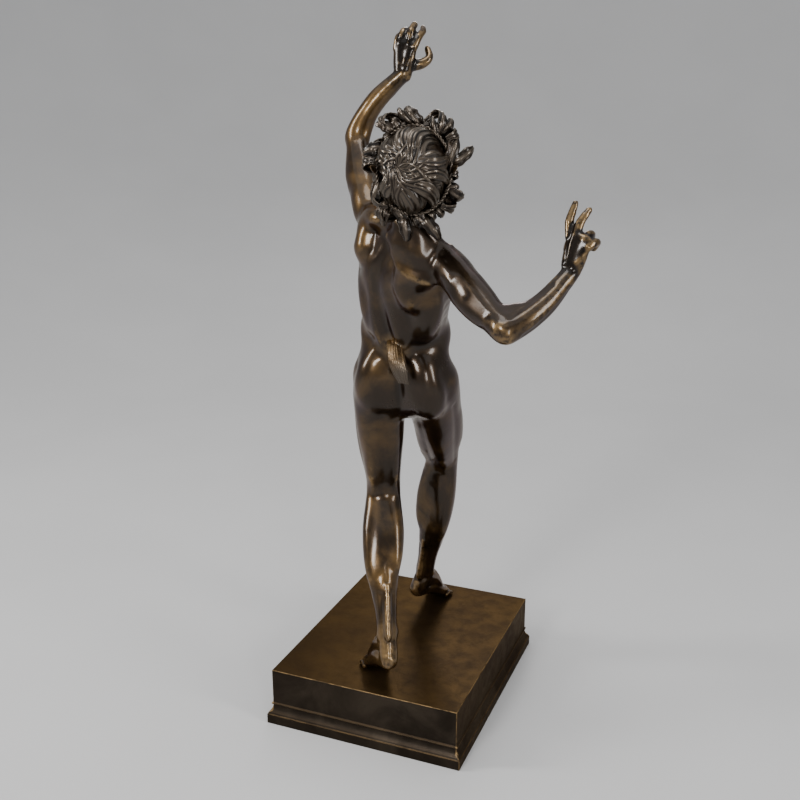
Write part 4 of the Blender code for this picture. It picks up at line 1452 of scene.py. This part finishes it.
LOCK_PROFILE = profile_sizes(32, 3, 0.48, ridges=7.0, ridge_depth=0.22)
STRAND_PROFILE = profile_sizes(10, 4, 0.8)
ROPE_PROFILE = profile_sizes(8, 1, 1.0)
LEAF_PROFILE = profile_sizes(24, 2, 0.32, ridges=7.0, ridge_depth=0.34, hollow=-0.18)


def swept(name, paths, tree, material, sizes, closed=False):
    """Sweep a profile along the paths and keep the result as a plain mesh."""
    item = path_object(name, paths, closed)
    sweep = item.modifiers.new("Sweep", "NODES")
    sweep.node_group = tree
    for socket in tree.interface.items_tree:
        if socket.in_out == "INPUT" and socket.name == "Material":
            sweep[socket.identifier] = material
        elif socket.in_out == "INPUT" and socket.name in sizes:
            sweep[socket.identifier] = sizes[socket.name]
    mesh = baked(item)
    shape = bmesh.new()
    shape.from_mesh(mesh)
    bmesh.ops.recalc_face_normals(shape, faces=shape.faces)
    shape.to_mesh(mesh)
    shape.free()
    mesh.shade_smooth()
    return mesh


# Plinth


def quarter_turn(steps, first=0):
    """Sine and cosine at even steps of a right angle."""
    turns = [math.pi / 2 * step / steps for step in range(first, steps + 1)]
    return [(math.sin(turn), math.cos(turn)) for turn in turns]


def plinth_levels(arris):
    """Height and projection of each level, from the underside up, with rounded edges."""
    levels = [(0.0, FASCIA_PROJECTION - arris)]
    for sine, cosine in quarter_turn(4, 1):
        levels.append((arris * (1 - cosine), FASCIA_PROJECTION - arris * (1 - sine)))
    levels.append((arris * 1.5, FASCIA_PROJECTION))
    levels.append((FASCIA_HEIGHT - arris * 1.5, FASCIA_PROJECTION))
    for sine, cosine in quarter_turn(4):
        levels.append((FASCIA_HEIGHT - arris * (1 - sine), FASCIA_PROJECTION - arris * (1 - cosine)))
    cove_foot = FASCIA_HEIGHT + STEP_HEIGHT
    levels.append((FASCIA_HEIGHT, COVE_PROJECTION + arris * 0.1))
    for sine, cosine in quarter_turn(12):
        levels.append((cove_foot + COVE_HEIGHT * sine, COVE_PROJECTION * (1 - sine) ** 2))
    bead_foot = cove_foot + COVE_HEIGHT
    for step in range(1, 12):
        turn = math.pi * step / 12
        levels.append((bead_foot + BEAD_HEIGHT * step / 12, BEAD_PROJECTION * math.sin(turn)))
    levels.append((bead_foot + BEAD_HEIGHT, 0.0))
    levels.append((bead_foot + BEAD_HEIGHT + arris, 0.0))
    levels.append((PLINTH_TOP - arris * 1.5, 0.0))
    for sine, cosine in quarter_turn(4):
        levels.append((PLINTH_TOP - arris * (1 - sine), -arris * (1 - cosine)))
    levels.append((PLINTH_TOP, -arris * 1.6))
    return levels


def rounded_loop(shape, half_width, half_depth, corner, height):
    """One level of the plinth: a rectangle with small round corners and a point beside each."""
    loop = []
    for quarter, (a, b) in enumerate(((1, -1), (1, 1), (-1, 1), (-1, -1))):
        centre = Vector((a * (half_width - corner), b * (half_depth - corner), height))
        start = math.pi / 2 * (quarter - 1)
        before = Vector((math.cos(start), math.sin(start), 0))
        after = Vector((-before.y, before.x, 0))
        loop.append(shape.verts.new(centre + before * corner - after * corner * 0.5))
        for sine, cosine in quarter_turn(4):
            loop.append(shape.verts.new(centre + (before * cosine + after * sine) * corner))
        loop.append(shape.verts.new(centre + after * corner - before * corner * 0.5))
    return loop


def plinth_mesh(arris):
    half_width = PLINTH_HIGH.x - FASCIA_PROJECTION
    half_depth = PLINTH_HIGH.y - FASCIA_PROJECTION
    shape = bmesh.new()
    loops = []
    for height, out in plinth_levels(arris):
        corner = max(arris + min(out, 0.0) * 0.6, arris * 0.3)
        loops.append(rounded_loop(shape, half_width + out, half_depth + out, corner, height))
    size = len(loops[0])
    for lower, upper in zip(loops, loops[1:]):
        for number in range(size):
            following = (number + 1) % size
            shape.faces.new((lower[number], lower[following], upper[following], upper[number]))
    shape.faces.new(loops[0][::-1])
    shape.faces.new(loops[-1])
    bmesh.ops.recalc_face_normals(shape, faces=shape.faces)
    mesh = bpy.data.meshes.new("plinth_cast")
    shape.to_mesh(mesh)
    shape.free()
    mesh.shade_smooth()
    return mesh


# Studio


def sweep_floor(colour):
    """Round floor that turns up into a wall far behind the figure on every side."""
    profile = [(FLOOR_RADIUS / 2, 0.0), (FLOOR_RADIUS, 0.0)]
    for sine, cosine in quarter_turn(24, 1):
        profile.append((FLOOR_RADIUS + SWEEP_RADIUS * sine, SWEEP_RADIUS * (1 - cosine)))
    profile.append((FLOOR_RADIUS + SWEEP_RADIUS, WALL_HEIGHT))
    shape = bmesh.new()
    centre = shape.verts.new((0, 0, 0))
    loops = []
    for radius, height in profile:
        loop = []
        for number in range(FLOOR_SIDES):
            turn = 2 * math.pi * number / FLOOR_SIDES
            loop.append(shape.verts.new((radius * math.cos(turn), radius * math.sin(turn), height)))
        loops.append(loop)
    for number in range(FLOOR_SIDES):
        following = (number + 1) % FLOOR_SIDES
        shape.faces.new((centre, loops[0][number], loops[0][following]))
        for inner, outer in zip(loops, loops[1:]):
            shape.faces.new((inner[number], outer[number], outer[following], inner[following]))
    mesh = bpy.data.meshes.new("studio_floor")
    shape.to_mesh(mesh)
    shape.free()
    mesh.shade_smooth()
    floor = add_object("studio_floor", mesh, matt_paper(colour))


def aim(item, place, direction):
    item.location = place
    item.rotation_euler = direction.to_track_quat("-Z", "Y").to_euler()
    bpy.context.scene.collection.objects.link(item)


def light_studio(strength):
    """Even light from all round, with small soft boxes for the highlights."""
    world = bpy.data.worlds.new("studio_fill")
    world.use_nodes = True
    background = world.node_tree.nodes["Background"]
    background.inputs["Color"].default_value = SKY_COLOUR
    background.inputs["Strength"].default_value = strength
    bpy.context.scene.world = world
    for name, place, width, height, watts in SOFTBOXES:
        lamp = bpy.data.lights.new(name, "AREA")
        lamp.shape = "RECTANGLE"
        lamp.size = width
        lamp.size_y = height
        lamp.energy = watts
        aim(bpy.data.objects.new(name, lamp), place, Vector(LIT_PLACE) - Vector(place))


def place_camera():
    """The camera stands behind the figure's right side and looks slightly down."""
    lens = bpy.data.cameras.new("camera")
    lens.sensor_width = 36.0
    lens.lens = CAMERA_LENS
    item = bpy.data.objects.new("camera", lens)
    aim(item, CAMERA_PLACE, Vector(CAMERA_VIEW))
    bpy.context.scene.camera = item


# Operators


class FAUN_OT_studio(bpy.types.Operator):
    """Make the floor, the lights and the camera"""
    bl_idname = "faun.studio"
    bl_label = "Studio"

    def execute(self, context):
        place_camera()
        sweep_floor(context.scene.faun_studio.floor)
        light_studio(context.scene.faun_studio.sky)
        return {"FINISHED"}


class FAUN_OT_figure(bpy.types.Operator):
    """Make the figure's skin from its forms, carve it and give it its patina"""
    bl_idname = "faun.figure"
    bl_label = "Figure"

    def execute(self, context):
        skin = waxed_skin_bronze(context.scene.faun_patina)
        add_to_figure("figure_skin", figure_mesh(context.scene.faun_figure), skin)
        return {"FINISHED"}


class FAUN_OT_hair(bpy.types.Operator):
    """Sweep the locks of the hair and the tail along their paths"""
    bl_idname = "faun.hair"
    bl_label = "Hair"

    def execute(self, context):
        settings = context.scene.faun_hair
        random = np.random.default_rng(SEED)
        tree = sweep_tree()
        chased = chased_hair_bronze(context.scene.faun_patina)
        locks = crown_locks(settings, random) + fringe_locks(settings, random)
        add_to_figure("hair_locks", swept("hair_locks", locks, tree, chased, LOCK_PROFILE), chased)
        strands = tail_locks(random)
        add_to_figure("tail_locks", swept("tail_locks", strands, tree, chased, STRAND_PROFILE), chased)
        return {"FINISHED"}


class FAUN_OT_wreath(bpy.types.Operator):
    """Sweep the twisted ring and the leaves of the wreath along their paths"""
    bl_idname = "faun.wreath"
    bl_label = "Wreath"

    def execute(self, context):
        random = np.random.default_rng(SEED + 1)
        tree = sweep_tree()
        chased = chased_hair_bronze(context.scene.faun_patina)
        rope = swept("wreath_ring", rope_strands(), tree, chased, ROPE_PROFILE, closed=True)
        add_to_figure("wreath_ring", rope, chased)
        leaves = wreath_leaves(context.scene.faun_hair, random)
        add_to_figure("wreath_leaves", swept("wreath_leaves", leaves, tree, chased, LEAF_PROFILE), chased)
        return {"FINISHED"}


class FAUN_OT_plinth(bpy.types.Operator):
    """Make the moulded plinth with its rounded edges"""
    bl_idname = "faun.plinth"
    bl_label = "Plinth"

    def execute(self, context):
        satin = satin_plinth_bronze(context.scene.faun_patina)
        plinth = add_object("plinth_cast", plinth_mesh(context.scene.faun_plinth.arris), satin)
        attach(plinth, "root")
        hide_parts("plinth")
        return {"FINISHED"}


class FAUN_PT_sidebar(bpy.types.Panel):
    """Sizes, colours and pieces of the faun"""
    bl_idname = "FAUN_PT_sidebar"
    bl_label = "Bronze faun"
    bl_space_type = "VIEW_3D"
    bl_region_type = "UI"
    bl_category = "Faun"

    def draw(self, context):
        layout = self.layout
        scene = context.scene
        for group, operator in ((scene.faun_studio, "faun.studio"), (scene.faun_figure, "faun.figure"),
                                (scene.faun_hair, "faun.hair"), (scene.faun_plinth, "faun.plinth")):
            box = layout.box()
            for name in group.__annotations__:
                box.prop(group, name)
            box.operator(operator)
        layout.operator("faun.wreath")
        for name in scene.faun_patina.__annotations__:
            layout.prop(scene.faun_patina, name)


SETTINGS = {
    "faun_figure": FigureSettings,
    "faun_hair": HairSettings,
    "faun_plinth": PlinthSettings,
    "faun_patina": PatinaSettings,
    "faun_studio": StudioSettings,
}
OPERATORS = (FAUN_OT_studio, FAUN_OT_figure, FAUN_OT_hair, FAUN_OT_wreath, FAUN_OT_plinth, FAUN_PT_sidebar)


def register():
    for name, settings in SETTINGS.items():
        bpy.utils.register_class(settings)
        setattr(bpy.types.Scene, name, PointerProperty(type=settings))
    for item in OPERATORS:
        bpy.utils.register_class(item)


def unregister():
    for item in reversed(OPERATORS):
        bpy.utils.unregister_class(item)
    for name, settings in SETTINGS.items():
        delattr(bpy.types.Scene, name)
        bpy.utils.unregister_class(settings)


def main():
    register()
    bpy.ops.faun.studio()
    bpy.ops.faun.figure()
    bpy.ops.faun.hair()
    bpy.ops.faun.wreath()
    bpy.ops.faun.plinth()


if __name__ == "__main__":
    main()
